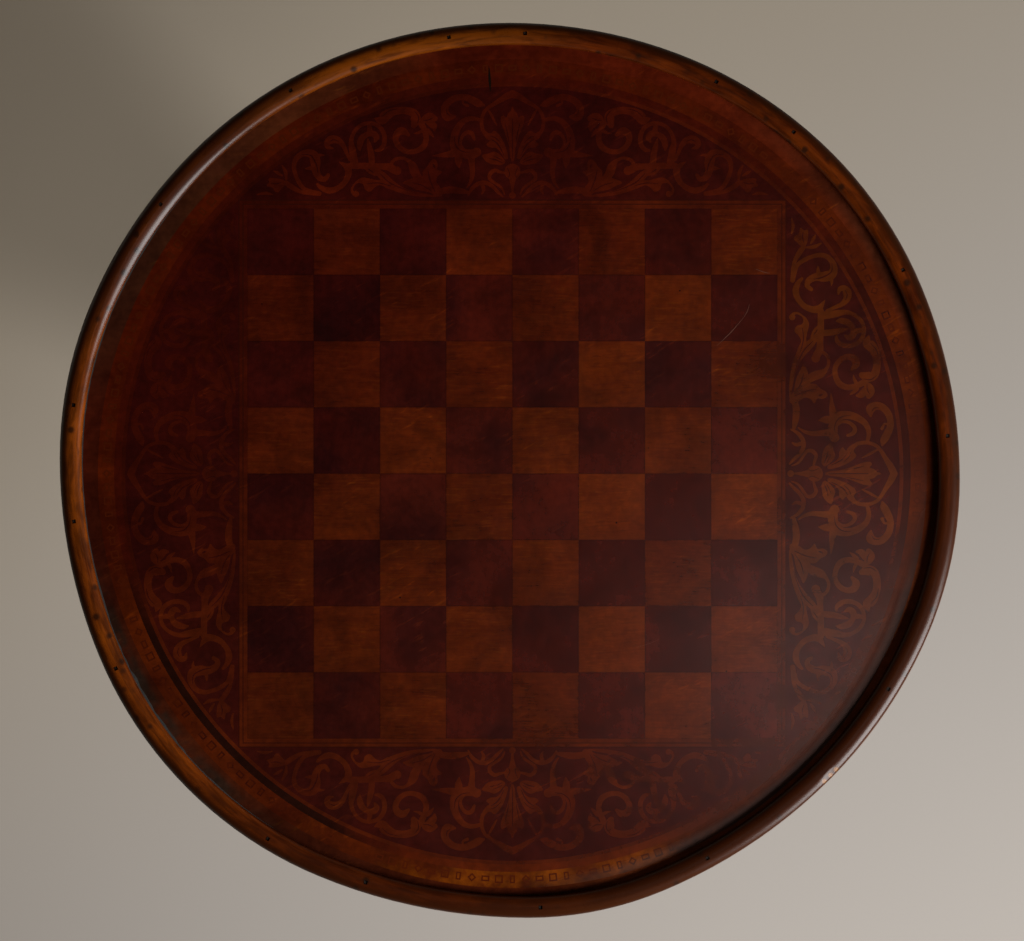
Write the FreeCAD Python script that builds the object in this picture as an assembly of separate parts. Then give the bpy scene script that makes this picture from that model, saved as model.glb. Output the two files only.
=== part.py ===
import FreeCAD, Part
import math
import os

from FreeCAD import Vector

# Tripod games table: a round dished top with an inlaid chessboard, which tilts up on a pivot block at the
# head of a turned pillar and is held down by a sprung brass catch. The pillar stands on three cabriole legs.
#
# Millimetres. +Z is up, the origin is on the floor under the pillar's axis, and -Y is the front of the
# table, which rises when the top is tilted.

# ---------------------------------------------------------------- overall sizes
table_height = 720.0  # floor to the crown of the rim
leg_reach = 262.0  # pillar axis to the outer edge of each foot
square_side = 45.0  # one square of the chessboard
squares_per_side = 8

# ---------------------------------------------------------------- inlay, from the squares outwards
inner_string_width = 2.7
line_width = 0.6
outer_string_width = 2.1
circle_string_width = 2.5
dark_ring_width = 5.0
ornament_band_width = 11.0
plain_field_width = 8.5
veneer_thickness = 1.2
inlay_shift = Vector(1.8, -2.2, 0.0)  # the inlay is laid a little off the middle of the top
circle_sides = 56  # circles of inlay are made of this many short straight lengths

# ---------------------------------------------------------------- the round top
board_thickness = 18.0
plank_count = 3
under_bevel_height = 7.0
under_bevel_width = 9.0
rim_width = 14.3
rim_height = 9.5  # crown of the rim above the playing surface
rim_crown_rise = 4.2  # crown above the rim's two shoulders
rim_facets = 4  # flats that make up the crown
rim_setback = 1.0  # the board's edge shows this far outside the rim
# The top has moved out of round. Each row is an order, an amount in mm and a direction in degrees.
edge_swells = (
    (2, 1.5, -51.0),
    (3, 0.4, -51.0),
    (4, 0.4, 169.0),
    (5, 0.5, 27.0),
    (6, 1.2, 94.0),
    (7, 0.5, -167.0),
)
edge_arcs = 16

# ---------------------------------------------------------------- square-cut brads that hold the rim
brad_side = 1.9
brad_length = 16.0
brad_sink = 1.2  # heads punched below the crown
brad_hole_clearance = 0.05
brad_angles = (4.5, 27.0, 50.0, 62.0, 88.0, 98.0, 120.0, 142.7, 171.5, 186.7,
               206.7, 236.7, 250.7, 274.0, 297.0, 330.0)

# ---------------------------------------------------------------- pivot block and its lugs
block_side = 190.0
block_gap = 0.3  # between the block and the underside of the top
pivot_drop = 15.0  # pivot axis below the underside of the top
pivot_y = 80.0
lug_radius = 8.0
lug_clearance = 0.08
block_front_height = 17.4  # upright part of the front and sides; the rest is bevelled

# ---------------------------------------------------------------- bearers under the top
bearer_width = 28.0
bearer_height = 34.0
bearer_end_gap = 19.0  # from the flat of the underside to the bearers' ends
bearer_taper_length = 75.0
bearer_tip_height = 13.0
bearer_side_gap = 0.6  # between the block's sides and the bearers
lug_end_gap = 1.0

# ---------------------------------------------------------------- bearer screws
bearer_middle_screw_y = -15.0
bearer_screw_shank = 2.3
bearer_screw_head = 4.6
bearer_screw_head_height = 2.8
bearer_counterbore_depth = 12.0
bearer_screw_bite = 11.0  # thread held in the board
screw_clearance = 0.05
screw_sides = 6  # screws repeat, so they are drawn six-sided

# ---------------------------------------------------------------- turned pillar
drum_base_z = 104.0
drum_height = 86.0
drum_radius = 38.0
pillar_sides = 24  # the turned pillar is drawn with this many narrow flats
leg_flat_depth = 2.0  # flat cut on the drum for each leg's shoulder
drum_chamfer = 2.0
base_ring_radius = 39.5
base_ring_height = 12.0
base_ring_inset = 4.0  # fillets above and below the ring, in from the drum
neck_radius = 26.0
neck_height = 12.0
vase_foot_radius = 23.0
vase_radius = 43.0
vase_shoulder_radius = 30.0
vase_height = 112.0
collar_radius = 26.5
collar_height = 12.0
collar_fillet = 4.0  # step from the collar's foot to the shaft
shaft_foot_radius = 22.5
shaft_head_radius = 18.0
shaft_swell = 0.6  # fullness at the middle of the shaft
astragal_radius = 23.0
astragal_height = 8.0
cap_throat = 4.0  # hollow of the cap, out from the shaft
cap_throat_height = 22.0
cap_radius = 36.0
cap_height = 46.0
cap_lip = 3.0
cap_lip_height = 9.0
tenon_radius = 16.0
wedge_thickness = 3.2
wedge_tip_thickness = 1.4
wedge_reach = 20.5  # down from the top of the tenon
joint_clearance = 0.05

# ---------------------------------------------------------------- legs
leg_directions = {"leg_front": -90.0, "leg_back_right": 30.0, "leg_back_left": 150.0}
leg_shoulder_drop = 4.0  # below the top of the drum
flat_headroom = 1.5  # the pillar's flats run this far above the legs' shoulders
foot_radius = 26.0
foot_height = 16.0
foot_undercut = 5.0  # the foot's flat is this much smaller than its fullest round
foot_brim = 3.0
foot_sides = 14
dovetail_neck = 11.0
dovetail_width = 17.0
dovetail_depth = 12.0
dovetail_stop = 12.0  # socket ends this far below the top of the drum
# Stations along a leg: top edge out and up, under edge out and up, width in mm, squareness of the section.
# Out runs from 0 at the pillar to 1 at the middle of the foot. Up runs from 0 at the floor to 1 at the
# shoulder for the top edge, and to 1 at the bottom of the drum for the under edge.
leg_stations = (
    (0.00, 1.000, 0.00, 0.980, 24.0, 6.0),
    (0.11, 1.008, 0.09, 0.984, 26.0, 4.0),
    (0.24, 0.984, 0.185, 0.994, 27.5, 3.2),
    (0.36, 0.900, 0.27, 1.005, 28.0, 2.8),
    (0.48, 0.768, 0.355, 0.940, 27.0, 2.6),
    (0.59, 0.608, 0.445, 0.778, 25.5, 2.5),
    (0.69, 0.446, 0.55, 0.558, 23.5, 2.4),
    (0.78, 0.312, 0.655, 0.356, 22.0, 2.4),
    (0.87, 0.210, 0.755, 0.202, 21.0, 2.3),
    (0.96, 0.134, 0.855, 0.097, 21.0, 2.3),
    (1.04, 0.085, 0.945, 0.039, 20.0, 2.2),
)
section_points = 10
rings_per_station = 2

# ---------------------------------------------------------------- iron plate under the pillar
plate_thickness = 2.5
plate_hub_radius = 24.0
plate_arm_width = 15.0
plate_arm_reach = 78.0
plate_flat_margin = 6.0  # the flat on each leg runs this far past the arm
plate_screw_spots = (54.0, 70.0)
plate_screw_shank = 1.8
plate_screw_head = 3.8
plate_screw_head_height = 2.0
plate_screw_length = 16.0

# ---------------------------------------------------------------- brass catch
bolt_width = 12.0
bolt_height = 8.0
bolt_drop = 9.5  # bolt axis below the underside of the top
bolt_throw = 8.0  # how far the bolt stands in the block
bolt_travel = 9.0
bolt_clearance = 0.1
bolt_rod_radius = 2.5
bolt_body_length = 30.0
bolt_nose_land = 1.8  # upright part of the nose above the ramp
bolt_ramp_margin = 1.0  # the ramp starts this far outside the block
case_gap = 6.0  # between the block and the case
case_wall = 5.0
case_depth = 18.0
case_rear_wall = 4.0
case_corner = 4.0
flange_width = 62.0
flange_thickness = 2.5
case_screw_inset_x = 7.0
case_screw_inset_y = 7.0
case_screw_length = 13.0
small_screw_shank = 1.4
small_screw_head = 3.0
small_screw_head_height = 1.5
knob_radius = 7.0
knob_length = 17.0
knob_gap = 0.3
knob_socket_depth = 9.0
knob_socket_gap = 0.5  # beyond the rod's end
knob_collar_radius = 5.6
knob_collar_length = 2.0
knob_waist_radius = 3.5
knob_neck_radius = 5.3
knob_neck_reach = 7.0
knob_tip_radius = 1.4
knob_sides = 10
spring_wire = 0.9
spring_radius = 3.6
spring_turns = 4.5
spring_steps = 8
spring_end_gap = 0.3
spring_shut_room = 9.0  # left for the spring when the bolt is drawn
keeper_width = 42.0
keeper_height = 14.5
keeper_thickness = 1.5
keeper_top_gap = 1.0
keeper_hole_margin = 0.6
keeper_pocket_depth = 9.5
keeper_screw_spread = 14.0
keeper_screw_length = 11.0

# ---------------------------------------------------------------- heights and radii that follow
surface_z = table_height - rim_height
board_top_z = surface_z - veneer_thickness
underside_z = board_top_z - board_thickness
block_top_z = underside_z - block_gap
pivot_z = underside_z - pivot_drop
block_nose_radius = pivot_drop - block_gap
block_bottom_z = pivot_z - block_nose_radius
block_bevel = 2 * block_nose_radius - block_front_height
drum_top_z = drum_base_z + drum_height
drum_flat = drum_radius - leg_flat_depth
leg_shoulder_z = drum_top_z - leg_shoulder_drop
field_half = square_side * squares_per_side / 2
border_half = field_half + inner_string_width + outer_string_width + 2 * line_width
circle_radius = border_half * math.sqrt(2)
string_radius = circle_radius + circle_string_width
dark_ring_radius = string_radius + dark_ring_width
band_radius = dark_ring_radius + ornament_band_width
edge_radius = band_radius + plain_field_width + rim_width + rim_setback
bearer_inner_x = block_side / 2 + bearer_side_gap
bearer_outer_x = bearer_inner_x + bearer_width
underside_radius = edge_radius - under_bevel_width
bearer_half_length = math.sqrt(underside_radius ** 2 - bearer_outer_x ** 2) - bearer_end_gap
bearer_shoulder_y = bearer_half_length - bearer_taper_length
bearer_screw_spots = (-bearer_shoulder_y, bearer_middle_screw_y, bearer_shoulder_y)
bolt_z = underside_z - bolt_drop
block_front_y = -block_side / 2
case_front_y = block_front_y - case_gap
bolt_nose_y = block_front_y + bolt_throw
bolt_tail_y = bolt_nose_y - bolt_body_length
case_back_y = bolt_tail_y - bolt_travel - spring_shut_room - case_rear_wall
case_length = case_front_y - case_back_y
foot_centre = leg_reach - foot_radius

UP = Vector(0, 0, 1)


# ---------------------------------------------------------------- helpers
def box(low, high):
    size = high.sub(low)
    return Part.makeBox(size.x, size.y, size.z, low)


def pin(radius, start, end):
    run = end.sub(start)
    return Part.makeCylinder(radius, run.Length, start, run)


def polygon_face(points):
    return Part.Face(Part.makePolygon(list(points) + [points[0]]))


def line(start, end):
    return Part.LineSegment(start, end).toShape()


def arc(start, middle, end):
    return Part.Arc(start, middle, end).toShape()


def bow(start, middle, end, steps):
    """Corners along the circular arc through three (radius, height) points, without the first."""
    curve = Part.Arc(*[Vector(radius, 0, z) for radius, z in (start, middle, end)])
    reach = curve.LastParameter - curve.FirstParameter
    points = [curve.value(curve.FirstParameter + reach * step / steps) for step in range(1, steps + 1)]
    return [(point.x, point.z) for point in points]


def skin(rings):
    """Solid with flat facets between rings of as many points each, closed by a cap at either end."""
    faces = [polygon_face(rings[0]), polygon_face(rings[-1])]
    for lower, upper in zip(rings, rings[1:]):
        for number, corner in enumerate(lower):
            following = (number + 1) % len(lower)
            faces.append(polygon_face([corner, lower[following], upper[following]]))
            faces.append(polygon_face([corner, upper[following], upper[number]]))
    solid = Part.makeSolid(Part.makeShell(faces))
    if solid.Volume < 0:
        solid.reverse()
    return solid


def turned(outline, sides):
    """Turned piece, drawn with narrow flats, from the (radius, height) corners between its two flat ends."""
    rings = []
    for radius, z in outline:
        turns = [2 * math.pi * (side + 0.5) / sides for side in range(sides)]
        rings.append([Vector(radius * math.cos(turn), radius * math.sin(turn), z) for turn in turns])
    return skin(rings)


def stand(shape, place, direction):
    """Move a shape that was drawn upwards from the origin to a place and a direction."""
    shape.Placement = FreeCAD.Placement(place, FreeCAD.Rotation(UP, direction))
    return shape


def screw(place, direction, head, head_height, shank, length, clearance):
    """Screw drawn from its head's face, or with a clearance the hole for it."""
    outline = (
        (head + clearance, 0),
        (head + clearance, 0.4 * head_height),
        (shank + clearance, head_height + clearance),
        (shank + clearance, length + clearance),
    )
    return stand(turned(outline, screw_sides), place, direction)


def spin(shape, degrees):
    """Copy of a shape turned about the pillar's axis."""
    copy = shape.copy()
    copy.rotate(Vector(0, 0, 0), UP, degrees)
    return copy


def save(name, solids):
    shape = solids[0] if len(solids) == 1 else Part.makeCompound(solids)
    shape.exportStep("parts/" + name + ".step")


# ---------------------------------------------------------------- outline of the top
def edge_chain():
    """Arcs of equal sweep, joined tangentially, as (centre, radius, start angle), centred on the pillar."""
    sweep = 2 * math.pi / edge_arcs
    chain = []
    centre = Vector(0, 0, 0)
    for number in range(edge_arcs):
        start = number * sweep
        middle = start + sweep / 2
        radius = edge_radius
        for order, amount, direction in edge_swells:
            radius += amount * (1 - order ** 2) * math.cos(order * middle + math.radians(direction))
        if chain:
            centre = centre.add(Vector(math.cos(start), math.sin(start), 0).multiply(chain[-1][1] - radius))
        chain.append((centre, radius, start))
    bounds = Part.Wire(chain_edges(chain, 0.0, 0.0)).BoundBox
    middle = Vector(bounds.Center.x, bounds.Center.y, 0)
    return [(centre.sub(middle), radius, start) for centre, radius, start in chain]


def chain_edges(chain, inset, z):
    """The arcs of the chain, moved inwards by the inset."""
    sweep = 2 * math.pi / edge_arcs

    def at(link, angle):
        centre, radius, _ = link
        out = radius - inset
        return centre.add(Vector(out * math.cos(angle), out * math.sin(angle), z))

    starts = [at(link, link[2]) for link in chain]
    edges = []
    for number, link in enumerate(chain):
        end = starts[(number + 1) % edge_arcs]
        edges.append(arc(starts[number], at(link, link[2] + sweep / 2), end))
    return edges


def edge_wire(inset, z):
    return Part.Wire(chain_edges(top_chain, inset, z))


def edge_point(degrees, inset, z):
    """Point on the outline in a direction from the middle of the top."""
    middle = Vector(0, 0, z)
    reach = spin(line(middle, middle.add(Vector(2 * edge_radius, 0, 0))), degrees)
    return edge_wire(inset, z).distToShape(reach)[1][0][0]


# ---------------------------------------------------------------- inlay
def veneer(face):
    return face.extrude(Vector(0, 0, veneer_thickness))


def disc_face(radius):
    return polygon_face(circle_points(radius, 0, circle_sides))


def circle_points(radius, first, steps):
    """Points round the inlay's middle, one side apart."""
    points = []
    for step in range(first, first + steps):
        turn = 2 * math.pi * step / circle_sides
        points.append(inlay_point(radius * math.cos(turn), radius * math.sin(turn)))
    return points


def make_ring(outer_radius, inner_radius):
    return veneer(disc_face(outer_radius).cut(disc_face(inner_radius))).Solids


def inlay_point(x, y):
    return Vector(x, y, board_top_z).add(inlay_shift)


def make_mitred_frame(inner_half, width):
    """Four lengths of stringing, mitred at the corners of a square."""
    outer_half = inner_half + width
    side = veneer(polygon_face((
        inlay_point(-inner_half, inner_half),
        inlay_point(inner_half, inner_half),
        inlay_point(outer_half, outer_half),
        inlay_point(-outer_half, outer_half),
    )))
    lengths = []
    for turn in range(4):
        piece = side.copy()
        piece.rotate(inlay_shift, UP, 90 * turn)
        lengths.append(piece)
    return lengths


def make_lunette(turn):
    """Ground of one circle segment between the square border and the circle, from corner to corner."""
    corner = circle_sides // 8
    ground = veneer(polygon_face(circle_points(circle_radius, corner, 2 * corner + 1)))
    ground.rotate(inlay_shift, UP, turn)
    return [ground]


def make_squares(parity):
    squares = []
    for row in range(squares_per_side):
        for column in range(squares_per_side):
            if (row + column) % 2 == parity:
                corner = inlay_point(-field_half + column * square_side, field_half - (row + 1) * square_side)
                squares.append(Part.makeBox(square_side, square_side, veneer_thickness, corner))
    return squares


def make_outer_field():
    edge = Part.Face(edge_wire(rim_setback + rim_width, board_top_z))
    return veneer(edge.cut(disc_face(band_radius))).Solids


# ---------------------------------------------------------------- board, rim and brads
def make_board():
    """The round board before it is parted into planks: a straight edge over a bevelled underside."""
    bevel_z = underside_z + under_bevel_height
    upper = Part.Face(edge_wire(0.0, bevel_z)).extrude(Vector(0, 0, board_top_z - bevel_z))
    lower = Part.makeLoft([edge_wire(under_bevel_width, underside_z), edge_wire(0.0, bevel_z)], True, True)
    return upper.fuse(lower).removeSplitter()


def make_planks():
    board = make_board()
    for hole in board_holes():
        board = board.cut(hole)
    reach = 1.1 * edge_radius
    plank_width = 2 * edge_radius / plank_count
    planks = []
    for number in range(plank_count):
        low_y = -reach if number == 0 else -edge_radius + number * plank_width
        high_y = reach if number == plank_count - 1 else -edge_radius + (number + 1) * plank_width
        cutter = box(Vector(-reach, low_y, 0), Vector(reach, high_y, table_height))
        planks.append(board.common(cutter).Solids)
    return planks


def make_rim():
    """Bead swept round the outline: straight sides and a crowned top."""
    path = edge_wire(rim_setback, board_top_z)
    outer = path.Vertexes[0].Point
    shoulder = Vector(0, 0, table_height - rim_crown_rise - board_top_z)
    across = Vector(-rim_width, 0, 0)
    crown = outer.add(Vector(-rim_width / 2, 0, table_height - board_top_z))
    inner = outer.add(across)
    start = (outer.x, outer.z + shoulder.z)
    crown_corners = bow(start, (crown.x, crown.z), (inner.x, start[1]), rim_facets)
    crown_line = [Vector(x, outer.y, z) for x, z in crown_corners]
    profile = Part.makePolygon([outer, outer.add(shoulder)] + crown_line + [inner, outer])
    sweep = Part.BRepOffsetAPI.MakePipeShell(path)
    sweep.setFrenetMode(True)
    sweep.add(profile, False, False)
    sweep.build()
    sweep.makeSolid()
    rim = sweep.shape()
    for degrees in brad_angles:
        rim = rim.cut(brad(degrees, brad_hole_clearance, brad_sink))
    return rim.Solids


def brad(degrees, clearance, extra_length):
    """A square-cut brad, or with a clearance and extra length the hole that it is driven through."""
    half = brad_side / 2 + clearance
    head = edge_point(degrees, rim_setback + rim_width / 2, table_height - brad_sink + extra_length)
    low = head.sub(Vector(half, half, brad_length + extra_length + clearance))
    shape = box(low, head.add(Vector(half, half, 0)))
    shape.rotate(head, UP, degrees)
    return shape


def make_brads():
    return [brad(degrees, 0.0, 0.0) for degrees in brad_angles]


def board_holes():
    holes = [brad(degrees, brad_hole_clearance, brad_sink) for degrees in brad_angles]
    holes += bearer_screw_solids(screw_clearance)
    holes += case_screw_solids(screw_clearance)
    return holes


# ---------------------------------------------------------------- bearers
def bearer_middle_x():
    return bearer_inner_x + bearer_width / 2


def bearer_screw_solids(clearance):
    """Three screws to a bearer, their heads sunk in counterbores."""
    head_z = underside_z - bearer_height + bearer_counterbore_depth
    length = underside_z + bearer_screw_bite - head_z
    screws = []
    for side in (-1, 1):
        for y in bearer_screw_spots:
            place = Vector(side * bearer_middle_x(), y, head_z)
            screws.append(screw(place, UP, bearer_screw_head, bearer_screw_head_height,
                                bearer_screw_shank, length, clearance))
    return screws


def bearer_counterbores():
    bottom_z = underside_z - bearer_height
    radius = bearer_screw_head + screw_clearance
    outline = ((radius, -1), (radius, bearer_counterbore_depth + screw_clearance))
    bores = []
    for side in (-1, 1):
        for y in bearer_screw_spots:
            place = Vector(side * bearer_middle_x(), y, bottom_z)
            bores.append(stand(turned(outline, screw_sides), place, UP))
    return bores


def make_bearer(side):
    bottom_z = underside_z - bearer_height
    tip_z = underside_z - bearer_tip_height
    outline = polygon_face([Vector(bearer_inner_x, y, z) for y, z in (
        (-bearer_half_length, underside_z),
        (-bearer_half_length, tip_z),
        (-bearer_shoulder_y, bottom_z),
        (bearer_shoulder_y, bottom_z),
        (bearer_half_length, tip_z),
        (bearer_half_length, underside_z),
    )])
    bearer = outline.extrude(Vector(bearer_width, 0, 0))
    start = Vector(0, pivot_y, pivot_z)
    end = Vector(2 * bearer_outer_x, pivot_y, pivot_z)
    bearer = bearer.cut(pin(lug_radius + lug_clearance, start, end))
    if side < 0:
        bearer = bearer.mirror(Vector(0, 0, 0), Vector(1, 0, 0))
    for hole in bearer_counterbores() + bearer_screw_solids(screw_clearance):
        bearer = bearer.cut(hole)
    return bearer.Solids


# ---------------------------------------------------------------- pivot block
def make_block():
    """Block with a rounded rear edge on the pivot axis, bevelled under its other edges, and two lugs."""
    half = block_side / 2
    start = Vector(-half, 0, 0)
    nose_top = start.add(Vector(0, pivot_y, pivot_z + block_nose_radius))
    nose_end = start.add(Vector(0, pivot_y + block_nose_radius, pivot_z))
    nose_bottom = start.add(Vector(0, pivot_y, block_bottom_z))
    front_top = start.add(Vector(0, -half, block_top_z))
    front_low = start.add(Vector(0, -half, block_bottom_z + block_bevel))
    under_front = start.add(Vector(0, -half + block_bevel, block_bottom_z))
    side_view = Part.Face(Part.Wire([
        arc(nose_top, nose_end, nose_bottom),
        line(nose_bottom, under_front),
        line(under_front, front_low),
        line(front_low, front_top),
        line(front_top, nose_top),
    ]))
    block = side_view.extrude(Vector(block_side, 0, 0))
    for side in (-1, 1):
        edge = polygon_face([Vector(side * x, -block_side, z) for x, z in (
            (half - block_bevel, block_bottom_z - 1),
            (half + 1, block_bottom_z - 1),
            (half + 1, block_bottom_z + block_bevel + 1),
            (half - block_bevel, block_bottom_z),
        )])
        block = block.cut(edge.extrude(Vector(0, 2 * block_side, 0)))
        inner = Vector(side * (half - 2 * lug_radius), pivot_y, pivot_z)
        outer = Vector(side * (bearer_outer_x - lug_end_gap), pivot_y, pivot_z)
        block = block.fuse(pin(lug_radius, inner, outer))
    below = Vector(0, 0, block_bottom_z - 1)
    above = Vector(0, 0, block_top_z + 1)
    block = block.cut(pin(tenon_radius + joint_clearance, below, above))
    block = block.cut(keeper_outline(joint_clearance, 1.0))
    block = block.cut(bolt_pocket(keeper_pocket_depth))
    for hole in keeper_screw_solids(screw_clearance):
        block = block.cut(hole)
    return block.removeSplitter().Solids


# ---------------------------------------------------------------- keeper plate
def keeper_outline(clearance, stand_out):
    """The keeper plate's own block, or with a clearance the recess that it is let into."""
    top_z = block_top_z - keeper_top_gap + clearance
    half = keeper_width / 2 + clearance
    low = Vector(-half, block_front_y - stand_out, top_z - keeper_height - 2 * clearance)
    return box(low, Vector(half, block_front_y + keeper_thickness + clearance, top_z))


def bolt_pocket(depth):
    half_x = bolt_width / 2 + keeper_hole_margin
    half_z = bolt_height / 2 + keeper_hole_margin
    low = Vector(-half_x, block_front_y - 1, bolt_z - half_z)
    return box(low, Vector(half_x, block_front_y + depth, bolt_z + half_z))


def brass_screw(place, direction, length, clearance):
    return screw(place, direction, small_screw_head, small_screw_head_height,
                 small_screw_shank, length, clearance)


def keeper_screw_solids(clearance):
    z = block_top_z - keeper_top_gap - keeper_height / 2
    places = [Vector(side * keeper_screw_spread, block_front_y, z) for side in (-1, 1)]
    return [brass_screw(place, Vector(0, 1, 0), keeper_screw_length, clearance) for place in places]


def make_keeper_plate():
    plate = keeper_outline(0.0, 0.0).cut(bolt_pocket(keeper_thickness + 1))
    for hole in keeper_screw_solids(screw_clearance):
        plate = plate.cut(hole)
    return plate.Solids


# ---------------------------------------------------------------- catch
def case_screw_solids(clearance):
    """Four screws, their heads flush with the underside of the flange."""
    x = flange_width / 2 - case_screw_inset_x
    places = []
    for y in (case_front_y - case_screw_inset_y, case_back_y + case_screw_inset_y):
        for side in (-1, 1):
            places.append(Vector(side * x, y, underside_z - flange_thickness))
    return [brass_screw(place, UP, case_screw_length, clearance) for place in places]


def make_case():
    """Cast case: a flange against the board and a rounded body, bored for the bolt and its rod."""
    body_half = bolt_width / 2 + case_wall
    bottom_z = underside_z - case_depth
    flange_z = underside_z - flange_thickness

    def at(x, z):
        return Vector(x, case_back_y, z)

    bend = case_corner * (1 - math.sqrt(0.5))
    edges = [
        line(at(-flange_width / 2, underside_z), at(flange_width / 2, underside_z)),
        line(at(flange_width / 2, underside_z), at(flange_width / 2, flange_z)),
        line(at(flange_width / 2, flange_z), at(body_half, flange_z)),
        line(at(body_half, flange_z), at(body_half, bottom_z + case_corner)),
        arc(at(body_half, bottom_z + case_corner), at(body_half - bend, bottom_z + bend),
            at(body_half - case_corner, bottom_z)),
        line(at(body_half - case_corner, bottom_z), at(case_corner - body_half, bottom_z)),
        arc(at(case_corner - body_half, bottom_z), at(bend - body_half, bottom_z + bend),
            at(-body_half, bottom_z + case_corner)),
        line(at(-body_half, bottom_z + case_corner), at(-body_half, flange_z)),
        line(at(-body_half, flange_z), at(-flange_width / 2, flange_z)),
        line(at(-flange_width / 2, flange_z), at(-flange_width / 2, underside_z)),
    ]
    case = Part.Face(Part.Wire(edges)).extrude(Vector(0, case_length, 0))
    half_x = bolt_width / 2 + bolt_clearance
    half_z = bolt_height / 2 + bolt_clearance
    low = Vector(-half_x, case_back_y + case_rear_wall, bolt_z - half_z)
    case = case.cut(box(low, Vector(half_x, case_front_y + 1, bolt_z + half_z)))
    rear = Vector(0, case_back_y - 1, bolt_z)
    case = case.cut(pin(bolt_rod_radius + bolt_clearance, rear, Vector(0, case_front_y, bolt_z)))
    for hole in case_screw_solids(screw_clearance):
        case = case.cut(hole)
    return case.Solids


def make_bolt():
    """Bolt with a ramp under its nose and a rod behind, which carries the knob."""
    half_x = bolt_width / 2
    half_z = bolt_height / 2
    body = polygon_face([Vector(-half_x, y, z) for y, z in (
        (bolt_tail_y, bolt_z + half_z),
        (bolt_nose_y, bolt_z + half_z),
        (bolt_nose_y, bolt_z + half_z - bolt_nose_land),
        (block_front_y - bolt_ramp_margin, bolt_z - half_z),
        (bolt_tail_y, bolt_z - half_z),
    )]).extrude(Vector(bolt_width, 0, 0))
    rod_end = case_back_y - knob_gap - knob_socket_depth + knob_socket_gap
    rod = pin(bolt_rod_radius, Vector(0, bolt_tail_y + 1, bolt_z), Vector(0, rod_end, bolt_z))
    return body.fuse(rod).removeSplitter().Solids


def make_knob():
    """Turned knob: a collar against the case, a waist and a domed end, bored for the rod."""
    collar = (knob_collar_radius, 0)
    collar_end = (knob_collar_radius, knob_collar_length)
    waist = (knob_waist_radius, (knob_collar_length + knob_neck_reach) / 2)
    neck_end = (knob_neck_radius, knob_neck_reach)
    belly = (knob_radius, 0.6 * knob_neck_reach + 0.4 * knob_length)
    outline = [collar, collar_end]
    outline += bow(collar_end, waist, neck_end, 3)
    outline += bow(neck_end, belly, (knob_tip_radius, knob_length), 5)
    knob = turned(outline, knob_sides)
    knob = knob.cut(Part.makeCylinder(bolt_rod_radius + joint_clearance, knob_socket_depth))
    return [stand(knob, Vector(0, case_back_y - knob_gap, bolt_z), Vector(0, -1, 0))]


def make_spring():
    """Compression spring round the rod, between the bolt and the rear wall of the case."""
    length = bolt_tail_y - (case_back_y + case_rear_wall) - 2 * spring_end_gap - spring_wire
    half = spring_wire / 2
    steps = round(spring_turns * spring_steps)
    rings = []
    for step in range(steps + 1):
        turn = 2 * math.pi * step / spring_steps
        along = half + length * step / steps
        rings.append([
            Vector((spring_radius + out) * math.cos(turn), (spring_radius + out) * math.sin(turn), along + up)
            for out, up in ((-half, -half), (half, -half), (half, half), (-half, half))
        ])
    spring = skin(rings)
    return [stand(spring, Vector(0, bolt_tail_y - spring_end_gap, bolt_z), Vector(0, -1, 0))]


# ---------------------------------------------------------------- pillar
def pillar_outline():
    """Turned outline from the drum up: ring, neck, vase, collar, tapered shaft, astragal, cap and tenon."""
    ring_z = drum_top_z + drum_chamfer
    neck_z = ring_z + base_ring_height
    vase_z = neck_z + neck_height
    vase_full_z = vase_z + 0.38 * vase_height
    vase_shoulder_z = vase_z + 0.74 * vase_height
    collar_z = vase_z + vase_height
    shaft_z = collar_z + collar_height
    astragal_z = block_bottom_z - cap_height
    cap_z = block_bottom_z - cap_lip_height
    ring_foot = (drum_radius - base_ring_inset, ring_z)
    ring_end = (drum_radius - base_ring_inset, neck_z)
    vase_foot = (vase_foot_radius, vase_z)
    vase_shoulder = (vase_shoulder_radius, vase_shoulder_z)
    collar_foot = (shaft_foot_radius - collar_fillet, collar_z)
    collar_end = (shaft_foot_radius, shaft_z)
    shaft_middle = ((shaft_foot_radius + shaft_head_radius) / 2 + shaft_swell, (shaft_z + astragal_z) / 2)
    shaft_head = (shaft_head_radius, astragal_z)
    astragal_end = (shaft_head_radius, astragal_z + astragal_height)
    outline = [(drum_radius, drum_base_z), (drum_radius, drum_top_z - drum_chamfer), ring_foot]
    outline += bow(ring_foot, (base_ring_radius, (ring_z + neck_z) / 2), ring_end, 3)
    outline += bow(ring_end, (neck_radius, neck_z + neck_height / 3), vase_foot, 2)
    outline += bow(vase_foot, (vase_radius, vase_full_z), vase_shoulder, 6)
    outline += bow(vase_shoulder, (shaft_foot_radius - 1, (vase_shoulder_z + collar_z) / 2), collar_foot, 2)
    outline += bow(collar_foot, (collar_radius, (collar_z + shaft_z) / 2), collar_end, 3)
    outline += bow(collar_end, shaft_middle, shaft_head, 2)
    outline += bow(shaft_head, (astragal_radius, astragal_z + astragal_height / 2), astragal_end, 3)
    throat = (shaft_head_radius + cap_throat, astragal_z + cap_throat_height)
    outline += bow(astragal_end, throat, (cap_radius - cap_lip, cap_z), 3)
    outline += [(cap_radius, cap_z), (cap_radius, block_bottom_z), (tenon_radius, block_bottom_z)]
    outline += [(tenon_radius, block_top_z)]
    return outline


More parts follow.
